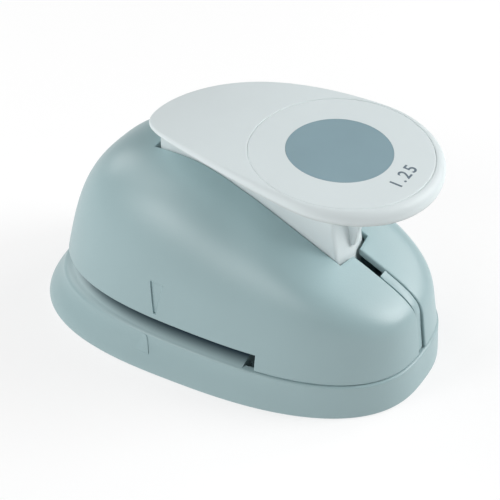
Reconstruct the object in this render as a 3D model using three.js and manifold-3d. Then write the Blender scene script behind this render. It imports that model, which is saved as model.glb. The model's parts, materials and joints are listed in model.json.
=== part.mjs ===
// A lever-operated circle craft punch: moulded base and body, white thumb lever, steel die set.
// Millimetres, +Z up. The origin is the middle of the base's footprint on the table.
// +X points along the length towards the thumb pad, and the paper enters from the rear and both sides.
import * as THREE from 'three';
import { mergeVertices } from 'three/addons/utils/BufferGeometryUtils.js';
import Module from 'manifold-3d';

const wasm = await Module();
wasm.setup();

// Shared clearances and cutting allowances
const seatGap = 0.3; // between pieces that rest on or in each other
const runGap = 0.3; // all round a piece that slides or turns in another
const cutPast = 5; // how far a cutter runs past the surface it cuts

// Base: a flared moulded tray, its outline a rounded superellipse
const footLength = 134.6;
const footWidth = 84.2;
const footPower = 2.6;
const footTaperShare = -0.11;
const footRound = 0.7; // small radius along the bottom edge
const rimHeight = 12.3; // top edge of the base wall
const rimLedge = 0.5; // how far the base stands out from the body at the seam
const baseWall = 2.4;
const deckRise = 3.7; // of the surface that the paper slides over, above the rim
const deckShoulder = 8.5; // width of the slope from the rim up to the deck
const deckShoulderPower = 4;
const slopeBendShare = 0.7; // the slope's wall bends here, as a share of its width
const deckThickness = 2.2;
const deckEndX = 22.6; // front end of the raised deck
const floorDrop = 2.6; // of the low floor in front of the deck, below the rim
const floorThickness = 2.2;
const ribThickness = 1.6;
const ribFoot = 1.6; // the ribs stop this far above the table

// Body: a domed shell with a steep front and a sloping top
const bodyCentreX = 2.5;
const bodyLength = 127.1;
const bodyWidth = 75.2;
const bodyPower = 2.68;
const bodyTaperShare = -0.06;
const bodyTop = 61.7; // flat rear part of the top
const topSlope = 0.44; // fall of the top per length, in front of the break
const topBreakX = -5.5;
const topBlendLength = 5; // the top turns into its slope over this length
const frontPower = 10.65;
const sidePower = 2.86;
const rearPower = 4.67;
const frontDraftShare = 0.04;
const sideDraftShare = 0.13;
const rearDraftShare = 0.19;
const bodyWall = 2.2;
const throatEndX = 26.5; // front end of the paper slot in the body's side
const markWidth = 4.2; // alignment marks at the die's centre
const bodyMarkHeight = 12.4;
const bodyMarkDepth = 0.5;
const bodyMarkRise = 1.6; // from the lip up to the mark's tip
const baseMarkHeight = 6.8;
const baseMarkDepth = 0.3;
const baseMarkDrop = 0.9; // from the rim down to the mark's tip
const baseMarkX = -11.2;

// Slot in the body's top that the lever works through, and the split down the front
const leverSlotRearX = -26.4;
const leverSlotFrontX = 41.6;
const leverSlotPoint = 1.2; // the slot's front end is a shallow point this long
const splitWidth = 3.9;
const spineWidth = 3.2;
const spineTopAhead = 9; // the strip that fills the split starts this far in front of the lever's slot
const spineFlangeWidth = 8;
const spineFlangeGap = 0.5; // the shell's front is a little curved in plan, and the flange is straight
const spineFlangeThickness = 1.6;
const spineFootInset = 10.55; // from the body's front end back to the strip's screw
const spineFootLength = 15;
const spineFootThickness = 2.2;
const spineBossHeight = 6;

// Die set
const discDiameter = 31.75; // the circle that the punch cuts
const dieX = -9.5;
const dieThickness = 3;
const dieLedge = 0.2; // the die's top stands this far above the deck
const throatHeight = 2.1; // from the die's top to the guide plate and the body's lip
const plateRearX = -33;
const plateFrontX = 16;
const plateWidth = 53;
const throatStopX = 9; // the paper's edge stops here
const guideThickness = 2;
const guideRearX = -38;
const cutterHeight = 10;
const cutterLift = 1.7; // from the guide plate's underside up to the cutting edge at rest
const cutterHollow = 1.4;
const cutterRimWall = 2.4;
const chipClearance = 1.4; // extra radius of the chute under the die
const chuteWall = 2;

// Lever: its pivot, its press pin and its channel-shaped arm
const pivotX = -27;
const pivotZ = 50;
const pivotPinRadius = 2.5;
const pressPinX = dieX;
const pressPinZ = 51.5;
const pressPinRadius = 2.5;
const pressPinPast = 0.6; // how far the press pin stands out of the side walls
const leverInnerWidth = 12.8;
const leverWall = 1.8;
const leverFrontX = 40.2; // lower end of the front wall
const leverFrontBottom = 34.8;
const leverFrontLean = 0.15; // the front wall leans back by this much for each length of height
const leverFrontPoint = 1.2; // it is a shallow bow that stands out this far in the middle
const leverCorner = 1.4;
const leverKneeX = 12; // the side walls' lower edge bends here
const leverKneeZ = 46.9;
const leverRearX = -24.4;
const leverRearBottom = 56;
const pivotEye = 5.4;
const pressEye = 4.4;

// Lever: its thumb pad and arched cover
const padX = 35.6;
const padRadius = 29.6;
const padRise = 14.6; // of the pad's surface above the body's flat top, at the place below
const padHeightX = 33.9;
const padSlope = -0.054;
const tipX = -31.2;
const tipOutlinePower = 1.57;
const tipWidthPower = 0.46;
const archDrop = 11.6;
const archStartX = 54.7;
const archPower = 3.62;
const padThickness = 5.6;
const tipThickness = 1.4;
const thicknessPower = 1.3; // of the cover's growth from the tip's thickness to the pad's
const rimRound = 3.2;
const rimFoot = 1.5;
const rimStep = 0.1; // least depth of the hollow under the cover
const coverCentreX = 15; // the cover's surface rows shrink towards this place
const coverSkin = 2.2;
const coverRimWall = 2.2;
const inlayRadius = 27.6;
const inlayX = 34.7;
const inlayThickness = 1.4;
const inlayDepth = 0.1; // the inlay lies this far below the cover's surface
const sizeDiscX = 33.9;
const sizeDiscThickness = 0.5;
const gussetWidth = 2.6;
const gussetBottom = 44.2;
const gussetToe = 1; // how far its lower end stands out from the front wall
const gussetReach = 6;

// Pivot bracket, a folded steel channel on the guide plate, with the pin's bushes and clips
const bracketInnerShare = 0.345; // of the body's width
const bracketSheet = 2;
const bracketRearX = -36;
const bracketFloorFrontX = -26.4;
const bracketCheekFrontX = -19;
const bracketShoulderZ = 40; // the cheeks narrow above this height
const bracketEye = 5.6;
const bushRadius = 4.2;
const pinGrooveRadius = 1.9;
const pinEnd = 1.2; // length of the pin outside each clip
const clipRadius = 3.9;
const clipBore = 2.2;
const clipThickness = 0.8;
const clipMouth = Math.PI / 3; // angle of the clip's opening

// Plunger, guide posts and springs
const plungerFlangeRadius = 13.7;
const plungerFlangeHeight = 7.5;
const plungerPostLength = 14;
const plungerPostWidth = 11.4;
const earLength = 11;
const earReach = 24.6;
const earThickness = 4;
const postY = 20.4;
const postRadius = 1.6;
const postStudRadius = 1.3;
const postFootRadius = 3.2;
const postFootHeight = 0.9;
const postPastEar = 1.2; // how far the post stands above the ear at rest
const postChamfer = 0.4;
const springMeanRadius = 2.75;
const springWireRadius = 0.35;
const springTurns = 5;

// Screws, each with its shank and head radius and its head height
const dieScrew = { shank: 1.5, head: 2.7, headHeight: 1.8 };
const cutterScrew = { shank: 1.3, head: 2.4, headHeight: 1.6 };
const bracketScrew = { shank: 1.3, head: 2.4, headHeight: 1.5 };
const flushScrew = { shank: 1.2, head: 2.3, headHeight: 0.9 };
const shellScrew = { shank: 1.4, head: 2.9, headHeight: 1.8 };
const bossWall = 2;
const shellThread = 7; // length of thread in the shell's bosses
const cutterThread = 5;

// Places of the screws
const throatScrewX = (throatStopX + plateFrontX) / 2;
const dieRearScrewX = -28.5;
const dieScrewY = 21.5;
const cutterScrewY = 10;
const bracketScrewX = (bracketRearX + bracketFloorFrontX) / 2;
const bracketScrewInset = 4.5; // from the inside of each cheek
const shellFrontX = 44;
const shellFrontY = 23;
const shellRearX = -33;
const shellRearY = 22.4;

// Mesh fineness: numbers of facets and rows
const outlineFacets = 48;
const bodySideRows = 6;
const bodyTopRows = 7;
const roundFacets = 32;
const smallFacets = 16;
const tinyFacets = 8;
const profileSteps = 16;
const arcSteps = 8;
const coilSteps = 8;
const coilSides = 5;
const solveRounds = 30;

// Heights and widths that follow from the sizes above
const deckHeight = rimHeight + deckRise;
const floorHeight = rimHeight - floorDrop;
const bodySeam = rimHeight + seatGap; // bottom edge of the body in front of the paper slot
const spineTopX = leverSlotFrontX + spineTopAhead;
const spineFootX = bodyCentreX + bodyLength / 2 - spineFootInset;
const dieTop = deckHeight + dieLedge;
const bodyLip = dieTop + throatHeight; // bottom edge of the body over the paper slot
const dieBottom = dieTop - dieThickness;
const pocketFloor = dieBottom - seatGap;
const pocketUnderside = pocketFloor - deckThickness;
const floorUnderside = floorHeight - floorThickness;
const guideTop = bodyLip + guideThickness;
const onGuide = guideTop + seatGap;
const cutterRadius = discDiameter / 2;
const dieHoleRadius = cutterRadius + runGap;
const cutterBottom = bodyLip + cutterLift;
const cutterTop = cutterBottom + cutterHeight;
const plungerBottom = cutterTop + seatGap;
const plungerFlangeTop = plungerBottom + plungerFlangeHeight;
const earBottom = plungerFlangeTop - earThickness;
const plungerTop = pressPinZ - pressPinRadius - seatGap;
const postFootTop = onGuide + postFootHeight;
const leverOuterWidth = leverInnerWidth + 2 * leverWall;
const cheekInner = bodyWidth * bracketInnerShare / 2;
const cheekOuter = cheekInner + bracketSheet;
const bracketScrewY = cheekInner - bracketScrewInset;
const clipInnerY = cheekOuter + seatGap;
const clipOuterY = clipInnerY + clipThickness;
const wholeLength = [-footLength, footLength];
const wholeWidth = [-footWidth, footWidth];
const bothSides = [-1, 1];

// Plastic and steel, as colour, roughness and metalness
const bodyLook = new THREE.MeshStandardMaterial({ color: 0x9db5b7, roughness: 0.55, metalness: 0 });
const leverLook = new THREE.MeshStandardMaterial({ color: 0xe3e6e4, roughness: 0.42, metalness: 0 });
const discLook = new THREE.MeshStandardMaterial({ color: 0x89a1ab, roughness: 0.5, metalness: 0 });
const plungerLook = new THREE.MeshStandardMaterial({ color: 0x3b3f42, roughness: 0.6, metalness: 0 });
const plateLook = new THREE.MeshStandardMaterial({ color: 0xb4b8ba, roughness: 0.4, metalness: 1 });
const toolLook = new THREE.MeshStandardMaterial({ color: 0x8d9296, roughness: 0.28, metalness: 1 });
const screwLook = new THREE.MeshStandardMaterial({ color: 0xa8abad, roughness: 0.35, metalness: 1 });
const springLook = new THREE.MeshStandardMaterial({ color: 0x9a9da0, roughness: 0.3, metalness: 1 });

// Closed geometries become solids, and solids become named meshes

function solid(geometry) {
  const bare = geometry.clone();
  bare.deleteAttribute('normal');
  bare.deleteAttribute('uv');
  const weldDistance = runGap / 1000;
  const welded = mergeVertices(bare, weldDistance);
  const places = new Float32Array(welded.attributes.position.array);
  const corners = Array.from(welded.index.array);
  const faces = [];
  let volume = 0;
  for (let first = 0; first < corners.length; first += 3) {
    const [a, b, c] = corners.slice(first, first + 3);
    if (a !== b && b !== c && c !== a) {
      faces.push(a, b, c);
      const [p, q, r] = [a, b, c].map((corner) => new THREE.Vector3().fromArray(places, corner * 3));
      volume += p.dot(q.cross(r));
    }
  }
  if (volume < 0) faces.reverse();
  return new wasm.Manifold(new wasm.Mesh({
    numProp: 3,
    vertProperties: places,
    triVerts: new Uint32Array(faces),
  }));
}

function join(first, ...others) {
  return others.reduce((whole, piece) => whole.add(piece), first);
}

function cut(first, ...others) {
  return others.reduce((whole, piece) => whole.subtract(piece), first);
}

const part = new THREE.Group();

function node(name, body, look) {
  const mesh = body.getMesh();
  const geometry = new THREE.BufferGeometry();
  geometry.setAttribute('position', new THREE.BufferAttribute(new Float32Array(mesh.vertProperties), 3));
  geometry.setIndex(new THREE.BufferAttribute(new Uint32Array(mesh.triVerts), 1));
  geometry.computeVertexNormals();
  const piece = new THREE.Mesh(geometry, look);
  piece.name = name;
  part.add(piece);
}

// Basic shapes, each placed by its limits

function block(xs, ys, zs) {
  const shape = new THREE.BoxGeometry(xs[1] - xs[0], ys[1] - ys[0], zs[1] - zs[0]);
  shape.translate((xs[0] + xs[1]) / 2, (ys[0] + ys[1]) / 2, (zs[0] + zs[1]) / 2);
  return solid(shape);
}

function across(width) {
  return [-width / 2, width / 2];
}

function upright(radius, x, y, zs, facets = smallFacets) {
  const shape = new THREE.CylinderGeometry(radius, radius, zs[1] - zs[0], facets);
  shape.rotateX(Math.PI / 2);
  shape.translate(x, y, (zs[0] + zs[1]) / 2);
  return solid(shape);
}

function crosswise(radius, x, z, ys) {
  const shape = new THREE.CylinderGeometry(radius, radius, ys[1] - ys[0], smallFacets);
  shape.translate(x, (ys[0] + ys[1]) / 2, z);
  return solid(shape);
}

function outlineShape(points) {
  return new THREE.Shape(points.map(([first, second]) => new THREE.Vector2(first, second)));
}

// A plate whose outline is drawn in X and Z, standing between two Y limits
function sidePlate(points, ys) {
  const shape = new THREE.ExtrudeGeometry(outlineShape(points), {
    depth: ys[1] - ys[0],
    bevelEnabled: false,
  });
  shape.rotateX(Math.PI / 2);
  shape.translate(0, ys[1], 0);
  return solid(shape);
}

// A plate whose outline is drawn in X and Y, lying between two Z limits
function flatPlate(points, zs) {
  const shape = new THREE.ExtrudeGeometry(outlineShape(points), {
    depth: zs[1] - zs[0],
    bevelEnabled: false,
  });
  shape.translate(0, 0, zs[0]);
  return solid(shape);
}

// A turned piece about an upright axis; the profile gives radii and heights
function turned(profile, x, y, facets = smallFacets) {
  const shape = new THREE.LatheGeometry(profile.map(([r, z]) => new THREE.Vector2(r, z)), facets);
  shape.rotateX(Math.PI / 2);
  shape.translate(x, y, 0);
  return solid(shape);
}

// A turned piece about a crosswise axis; the profile gives radii and Y places
function turnedCrosswise(profile, x, z) {
  const shape = new THREE.LatheGeometry(profile.map(([r, y]) => new THREE.Vector2(r, y)), smallFacets);
  shape.translate(x, 0, z);
  return solid(shape);
}

// A closed skin over rings of equally many points; it starts and ends at one point
function skin(rings, firstPoint, lastPoint) {
  const count = rings[0].length;
  const places = [...rings.flat(), firstPoint, lastPoint];
  const start = places.length - 2;
  const end = places.length - 1;
  const last = (rings.length - 1) * count;
  const faces = [];
  for (let step = 0; step < count; step += 1) {
    const next = (step + 1) % count;
    faces.push(start, next, step, end, last + step, last + next);
    for (let row = 0; row < last; row += count) {
      faces.push(row + step, row + next, row + next + count);
      faces.push(row + step, row + next + count, row + step + count);
    }
  }
  const shape = new THREE.BufferGeometry();
  shape.setAttribute('position', new THREE.Float32BufferAttribute(places.flat(), 3));
  shape.setIndex(faces);
  return solid(shape);
}

function arc(centre, radius, from, to) {
  return Array.from({ length: arcSteps + 1 }, (_, step) => {
    const angle = from + (to - from) * step / arcSteps;
    return [centre[0] + radius * Math.cos(angle), centre[1] + radius * Math.sin(angle)];
  });
}

// Screws: upwards with the head below, or downwards with the head on top

function screwUp(size, x, y, headTop, tip) {
  return turned([[0, headTop - size.headHeight], [size.head, headTop - size.headHeight], [size.head, headTop],
    [size.shank, headTop], [size.shank, tip], [0, tip]], x, y, tinyFacets);
}

function screwDown(size, x, y, headBottom, tip) {
  return turned([[0, tip], [size.shank, tip], [size.shank, headBottom], [size.head, headBottom],
    [size.head, headBottom + size.headHeight], [0, headBottom + size.headHeight]], x, y, tinyFacets);
}

function screwHole(size, x, y, zs) {
  return upright(size.shank + runGap, x, y, zs, tinyFacets);
}

function headHole(size, x, y, zs) {
  return upright(size.head + runGap, x, y, zs, tinyFacets);
}

// Outlines of the base and the body: superellipses that are a little wider at the rear

function signedPower(value, power) {
  return Math.sign(value) * Math.abs(value) ** power;
}

function ovalPoint(turn, length, width, power, taper) {
  const along = signedPower(Math.cos(turn), 2 / power);
  return [along * length / 2, signedPower(Math.sin(turn), 2 / power) * width / 2 * (1 + taper * along)];
}

function footPoint(turn, inset) {
  return ovalPoint(turn, footLength - 2 * inset, footWidth - 2 * inset, footPower, footTaperShare);
}

function bodyOval(turn, inset) {
  return ovalPoint(turn, bodyLength - 2 * inset, bodyWidth - 2 * inset, bodyPower, bodyTaperShare);
}

function bodyOutlinePoint(turn, inset) {
  const [x, y] = bodyOval(turn, inset);
  return [x + bodyCentreX, y];
}

function ring(place) {
  return Array.from({ length: outlineFacets }, (_, step) => place(2 * Math.PI * step / outlineFacets));
}

// The turn of the outline at which the near side passes a place behind the body's middle
function nearTurn(x) {
  return -Math.PI / 2 - Math.asin((2 * (bodyCentreX - x) / bodyLength) ** (bodyPower / 2));
}

// Body surface

function topProfile(x) {
  return bodyTop - topSlope * topBlendLength * Math.log(1 + Math.exp((x - topBreakX) / topBlendLength));
}

function bySide(turn, front, side, rear) {
  const end = Math.cos(turn) > 0 ? front : rear;
  return side + (end - side) * Math.cos(turn) ** 2;
}

// The climb runs from 0 at the seam, over the shoulder at a half, to 1 at the middle of the top
function bodyPoint(turn, climb, inset) {
  const power = bySide(turn, frontPower, sidePower, rearPower);
  const draft = bySide(turn, frontDraftShare, sideDraftShare, rearDraftShare);
  const shoulder = 0.5 ** (1 / power);
  const share = climb < 0.5 ? shoulder * 2 * climb : shoulder * 2 * (1 - climb);
  const rest = (1 - share ** power) ** (1 / power);
  const rise = climb < 0.5 ? share : rest;
  const spread = climb < 0.5 ? rest : share;
  const reach = spread * (1 - draft * rise);
  const [outX, outY] = bodyOval(turn, inset);
  const x = bodyCentreX + reach * outX;
  return [x, reach * outY, rimHeight + (topProfile(x) - inset - rimHeight) * rise];
}

const bodyClimbs = [
  ...Array.from({ length: bodySideRows }, (_, row) => row / bodySideRows / 2),
  ...Array.from({ length: bodyTopRows }, (_, row) => (1 + row / bodyTopRows) / 2),
];

function bodyDome(inset) {
  const below = rimHeight - cutPast;
  const rows = [
    ring((turn) => [...bodyOutlinePoint(turn, inset), below]),
    ...bodyClimbs.map((climb) => ring((turn) => bodyPoint(turn, climb, inset))),
  ];
  return skin(rows, [bodyCentreX, 0, below], bodyPoint(0, 1, inset));
}

// Where the near wall of the body lies at the die's centre, at one height
function bodyWallAt(height) {
  let low = 0;
  let high = 1;
  for (let round = 0; round < solveRounds; round += 1) {
    const middle = (low + high) / 2;
    if (bodyPoint(nearTurn(dieX), middle, 0)[2] < height) {
      low = middle;
    } else {
      high = middle;
    }
  }
  return bodyPoint(nearTurn(dieX), low, 0);
}

// A triangle that is pressed into a wall, from its tip to its root; both are points on the wall
function wallMark(tip, root, depth) {
  const rise = new THREE.Vector3(0, root[1] - tip[1], root[2] - tip[2]);
  const length = rise.length();
  const outline = outlineShape([[0, 0], [markWidth / 2, length], [-markWidth / 2, length]]);
  const shape = new THREE.ExtrudeGeometry(outline, { depth: cutPast + depth, bevelEnabled: false });
  shape.translate(0, 0, -depth);
  const sideways = new THREE.Vector3(Math.sign(rise.z), 0, 0);
  const alongWall = rise.clone().normalize();
  const outwards = sideways.clone().cross(alongWall);
  shape.applyMatrix4(new THREE.Matrix4().makeBasis(sideways, alongWall, outwards));
  shape.translate(tip[0], tip[1], tip[2]);
  return solid(shape);
}

// Base

function skirtPoint(turn, height, inset) {
  const share = Math.min(height / rimHeight, 1);
  const swing = share * share * (3 - 2 * share);
  const [footX, footY] = footPoint(turn, inset);
  const [rimX, rimY] = bodyOutlinePoint(turn, inset - rimLedge);
  return [footX + (rimX - footX) * swing, footY + (rimY - footY) * swing, height];
}

function baseEnvelope() {
  const wallShares = [0.2, 0.38, 0.54, 0.7, 0.86, 1];
  const shoulderShares = [0.12, 0.45, 0.7, 0.86, 1];
  const slopePoint = (turn, share) => [...bodyOutlinePoint(turn, deckShoulder * share - rimLedge),
    rimHeight + deckRise * share ** deckShoulderPower];
  const rings = [
    ring((turn) => [...footPoint(turn, footRound), 0]),
    ring((turn) => skirtPoint(turn, footRound, 0)),
    ...wallShares.map((share) => ring((turn) => skirtPoint(turn, share * rimHeight, 0))),
    ...shoulderShares.map((share) => ring((turn) => slopePoint(turn, share))),
  ];
  return skin(rings, [0, 0, 0], [bodyCentreX, 0, deckHeight]);
}

function deckHollow() {
  const bendHeight = rimHeight + deckRise * slopeBendShare ** deckShoulderPower;
  const rings = [
    ring((turn) => [...footPoint(turn, baseWall), -cutPast]),
    ring((turn) => [...footPoint(turn, baseWall), 0]),
    ring((turn) => skirtPoint(turn, rimHeight / 2, baseWall)),
    ring((turn) => skirtPoint(turn, rimHeight - deckThickness, baseWall)),
    ring((turn) => [...bodyOutlinePoint(turn, deckShoulder * slopeBendShare), bendHeight - deckThickness]),
    ring((turn) => [...bodyOutlinePoint(turn, deckShoulder), deckHeight - deckThickness]),
  ];
  const hollow = skin(rings, [0, 0, -cutPast], [bodyCentreX, 0, deckHeight - deckThickness]);
  const underDeck = block([-footLength, deckEndX - deckThickness], wholeWidth, [-footWidth, deckHeight]);
  return hollow.intersect(underDeck);
}

function floorHollow() {
  const rings = [
    ring((turn) => [...footPoint(turn, baseWall), -cutPast]),
    ring((turn) => [...footPoint(turn, baseWall), 0]),
    ring((turn) => skirtPoint(turn, floorUnderside, baseWall)),
  ];
  const hollow = skin(rings, [0, 0, -cutPast], [0, 0, floorUnderside]);
  return hollow.intersect(block([deckEndX, footLength], wholeWidth, [-footWidth, deckHeight]));
}

function frontWell() {
  const above = deckHeight + cutPast;
  const rings = [
    ring((turn) => skirtPoint(turn, floorHeight, baseWall)),
    ring((turn) => skirtPoint(turn, rimHeight, baseWall)),
    ring((turn) => [...bodyOutlinePoint(turn, baseWall - rimLedge), above]),
  ];
  const well = skin(rings, [bodyCentreX, 0, floorHeight], [bodyCentreX, 0, above]);
  const aboveRim = block([deckEndX, footLength], wholeWidth, [rimHeight, above]);
  return well.intersect(block([deckEndX, footLength], wholeWidth, [0, above])).add(aboveRim);
}

function makeBase() {
  const outer = baseEnvelope();
  const shell = cut(outer, deckHollow(), floorHollow(), frontWell());
  const pocketSide = plateWidth / 2 + seatGap + deckThickness;
  const chuteRadius = dieHoleRadius + chipClearance;
  const deckRibs = [ribFoot, deckHeight - deckThickness / 2];
  const floorRibs = [ribFoot, floorHeight - floorThickness / 2];
  const inside = [
    block([plateRearX - seatGap - deckThickness, plateFrontX + seatGap + deckThickness],
      [-pocketSide, pocketSide], [pocketUnderside, deckHeight]),
    block([plateRearX - ribThickness / 2, plateRearX + ribThickness / 2], wholeWidth, deckRibs),
    upright(chuteRadius + chuteWall, dieX, 0, [ribFoot, pocketFloor], roundFacets),
    upright(shellScrew.head + bossWall, spineFootX, 0, floorRibs),
  ];
  const holes = [
    block([plateRearX - seatGap, plateFrontX + seatGap], across(plateWidth + 2 * seatGap),
      [pocketFloor, deckHeight + cutPast]),
    upright(chuteRadius, dieX, 0, [-cutPast, deckHeight], roundFacets),
    headHole(shellScrew, spineFootX, 0, [-cutPast, floorUnderside - seatGap]),
    screwHole(shellScrew, spineFootX, 0, [-cutPast, deckHeight]),
  ];
  for (const side of bothSides) {
    inside.push(block([-footLength, deckEndX], [side * pocketSide - ribThickness / 2,
      side * pocketSide + ribThickness / 2], deckRibs));
    for (const x of [throatScrewX, dieRearScrewX]) {
      inside.push(upright(dieScrew.head + bossWall, x, side * dieScrewY, [ribFoot, pocketFloor]));
      holes.push(headHole(dieScrew, x, side * dieScrewY, [-cutPast, pocketUnderside - seatGap]));
      holes.push(screwHole(dieScrew, x, side * dieScrewY, [-cutPast, deckHeight]));
    }
    inside.push(upright(shellScrew.head + bossWall, shellFrontX, side * shellFrontY, floorRibs));
    holes.push(headHole(shellScrew, shellFrontX, side * shellFrontY, [-cutPast, floorUnderside - seatGap]));
    holes.push(screwHole(shellScrew, shellFrontX, side * shellFrontY, [-cutPast, deckHeight]));
  }
  const markTurn = nearTurn(baseMarkX);
  const markTip = rimHeight - baseMarkDrop;
  const mark = wallMark(skirtPoint(markTurn, markTip, 0), skirtPoint(markTurn, markTip - baseMarkHeight, 0),
    baseMarkDepth);
  return cut(shell.add(join(...inside).intersect(outer)), mark, ...holes);
}

// Body shell

function leverSlot() {
  const half = leverOuterWidth / 2 + runGap;
  const corner = leverSlotFrontX - leverSlotPoint;
  const points = [[leverSlotRearX, -half], [corner, -half], [leverSlotFrontX, 0], [corner, half],
    [leverSlotRearX, half]];
  return flatPlate(points, [bodyLip, bodyTop + cutPast]);
}

function makeBodyShell() {
  const bosses = [];
  const pilots = [];
  const frontBottom = floorHeight + seatGap;
  for (const side of bothSides) {
    bosses.push(upright(shellScrew.head + seatGap, shellFrontX, side * shellFrontY, [frontBottom, bodyTop]));
    bosses.push(upright(flushScrew.head + seatGap, shellRearX, side * shellRearY, [onGuide, bodyTop]));
    pilots.push(screwHole(shellScrew, shellFrontX, side * shellFrontY,
      [0, frontBottom + shellThread + seatGap]));
    pilots.push(screwHole(flushScrew, shellRearX, side * shellRearY, [0, onGuide + shellThread + seatGap]));
  }
  const belowSeam = block(wholeLength, wholeWidth, [0, bodySeam]);
  const belowLip = block([-footLength, throatEndX], wholeWidth, [0, bodyLip]);
  const shell = cut(bodyDome(0), bodyDome(bodyWall), belowSeam, belowLip);
  const split = block([leverSlotFrontX - leverSlotPoint, footLength], across(splitWidth), [0, bodyTop]);
  const tipHeight = bodyLip + bodyMarkRise;
  const mark = wallMark(bodyWallAt(tipHeight), bodyWallAt(tipHeight + bodyMarkHeight), bodyMarkDepth);
  const bossLimit = bodyDome(bodyWall / 2).add(block([0, footLength], wholeWidth, [0, bodySeam]));
  return cut(shell.add(join(...bosses).intersect(bossLimit)), leverSlot(), split, mark, ...pilots);
}

// The strip that fills the split down the front, with a flange behind it and a foot

function frontProfile(inset, bottom) {
  const places = bodyClimbs.map((climb) => bodyPoint(0, climb, inset));
  const shown = places.filter(([x, , z]) => x > spineTopX && z > bottom).map(([x, , z]) => [x, z]);
  return [[places[0][0], bottom], ...shown, [spineTopX, topProfile(spineTopX) - inset]];
}

function frontBand(outerInset, innerInset, bottom) {
  return [...frontProfile(outerInset, bottom), ...frontProfile(innerInset, bottom).reverse()];
}

function makeFrontSpine() {
  const flangeOuter = bodyWall + spineFlangeGap;
  const flangeInner = flangeOuter + spineFlangeThickness;
  const strip = sidePlate(frontBand(0, flangeOuter + spineFlangeThickness / 2, bodySeam), across(spineWidth));
  const footBottom = floorHeight + seatGap;
  const flange = sidePlate(frontBand(flangeOuter, flangeInner, footBottom), across(spineFlangeWidth));
  const footFront = bodyCentreX + bodyLength / 2 - flangeInner;
  const footEnd = footFront + spineFlangeThickness / 2;
  const foot = block([footEnd - spineFootLength, footEnd], across(spineFlangeWidth),
    [footBottom, footBottom + spineFootThickness]);
  const boss = upright(shellScrew.shank + bossWall, spineFootX, 0,
    [footBottom, footBottom + spineBossHeight]);
  const pilot = screwHole(shellScrew, spineFootX, 0, [0, footBottom + spineBossHeight - seatGap]);
  return cut(join(strip, flange, foot, boss), pilot);
}

// Die set

function makeDiePlate() {
  const plate = block([plateRearX, plateFrontX], across(plateWidth), [dieBottom, dieTop]);
  const holes = [upright(dieHoleRadius, dieX, 0, [0, deckHeight + cutPast], roundFacets)];
  for (const side of bothSides) {
    for (const x of [throatScrewX, dieRearScrewX]) {
      holes.push(screwHole(dieScrew, x, side * dieScrewY, [0, deckHeight + cutPast]));
    }
  }
  return cut(plate, ...holes);
}

function makeThroatSpacer() {
  const bar = block([throatStopX, plateFrontX], across(plateWidth), [dieTop + seatGap, bodyLip - seatGap]);
  const holes = bothSides.map((side) => screwHole(dieScrew, throatScrewX, side * dieScrewY, [0, bodyLip]));
  return cut(bar, ...holes);
}

function makeGuidePlate() {
  const plate = block([guideRearX, plateFrontX], across(plateWidth), [bodyLip, guideTop]);
  const through = [0, guideTop + cutPast];
  const holes = [upright(dieHoleRadius, dieX, 0, through, roundFacets)];
  for (const side of bothSides) {
    holes.push(screwHole(dieScrew, throatScrewX, side * dieScrewY, through));
    holes.push(screwHole(bracketScrew, bracketScrewX, side * bracketScrewY, through));
    holes.push(screwHole(flushScrew, shellRearX, side * shellRearY, through));
    holes.push(headHole(flushScrew, shellRearX, side * shellRearY, [0, flushSeat]));
    holes.push(upright(postStudRadius + runGap, dieX, side * postY, through, tinyFacets));
  }
  return cut(plate, ...holes);
}

// The cutter is a cup, open downwards, so that only its rim meets the paper
function makeCutter() {
  const hollowRadius = cutterRadius - cutterRimWall;
  const cup = turned([[0, cutterBottom + cutterHollow], [hollowRadius, cutterBottom + cutterHollow],
    [hollowRadius, cutterBottom], [cutterRadius, cutterBottom], [cutterRadius, cutterTop],
    [0, cutterTop]], dieX, 0, roundFacets);
  return cut(cup, ...bothSides.map((side) => screwHole(cutterScrew, dieX, side * cutterScrewY,
    [cutterTop - cutterThread - seatGap, cutterTop + cutPast])));
}

function makePlunger() {
  const flange = upright(plungerFlangeRadius, dieX, 0, [plungerBottom, plungerFlangeTop], roundFacets);
  const ears = block([dieX - earLength / 2, dieX + earLength / 2], across(2 * earReach),
    [earBottom, plungerFlangeTop]);
  const post = block([dieX - plungerPostLength / 2, dieX + plungerPostLength / 2], across(plungerPostWidth),
    [plungerBottom, plungerTop]);
  const through = [0, plungerFlangeTop + cutPast];
  const holes = bothSides.flatMap((side) => [
    upright(postRadius + runGap, dieX, side * postY, through),
    screwHole(cutterScrew, dieX, side * cutterScrewY, through),
  ]);
  return cut(join(flange, ears, post), ...holes);
}

function makeGuidePost(side) {
  const top = plungerFlangeTop + postPastEar;
  const profile = [[0, bodyLip + seatGap], [postStudRadius, bodyLip + seatGap], [postStudRadius, onGuide],
    [postFootRadius, onGuide], [postFootRadius, postFootTop], [postRadius, postFootTop],
    [postRadius, top - postChamfer], [postRadius - postChamfer, top], [0, top]];
  return turned(profile, dieX, side * postY);
}

// A return spring: one tube along a helix, closed at both ends

function springLimits() {
  return [postFootTop + seatGap + springWireRadius, earBottom - seatGap - springWireRadius];
}

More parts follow.
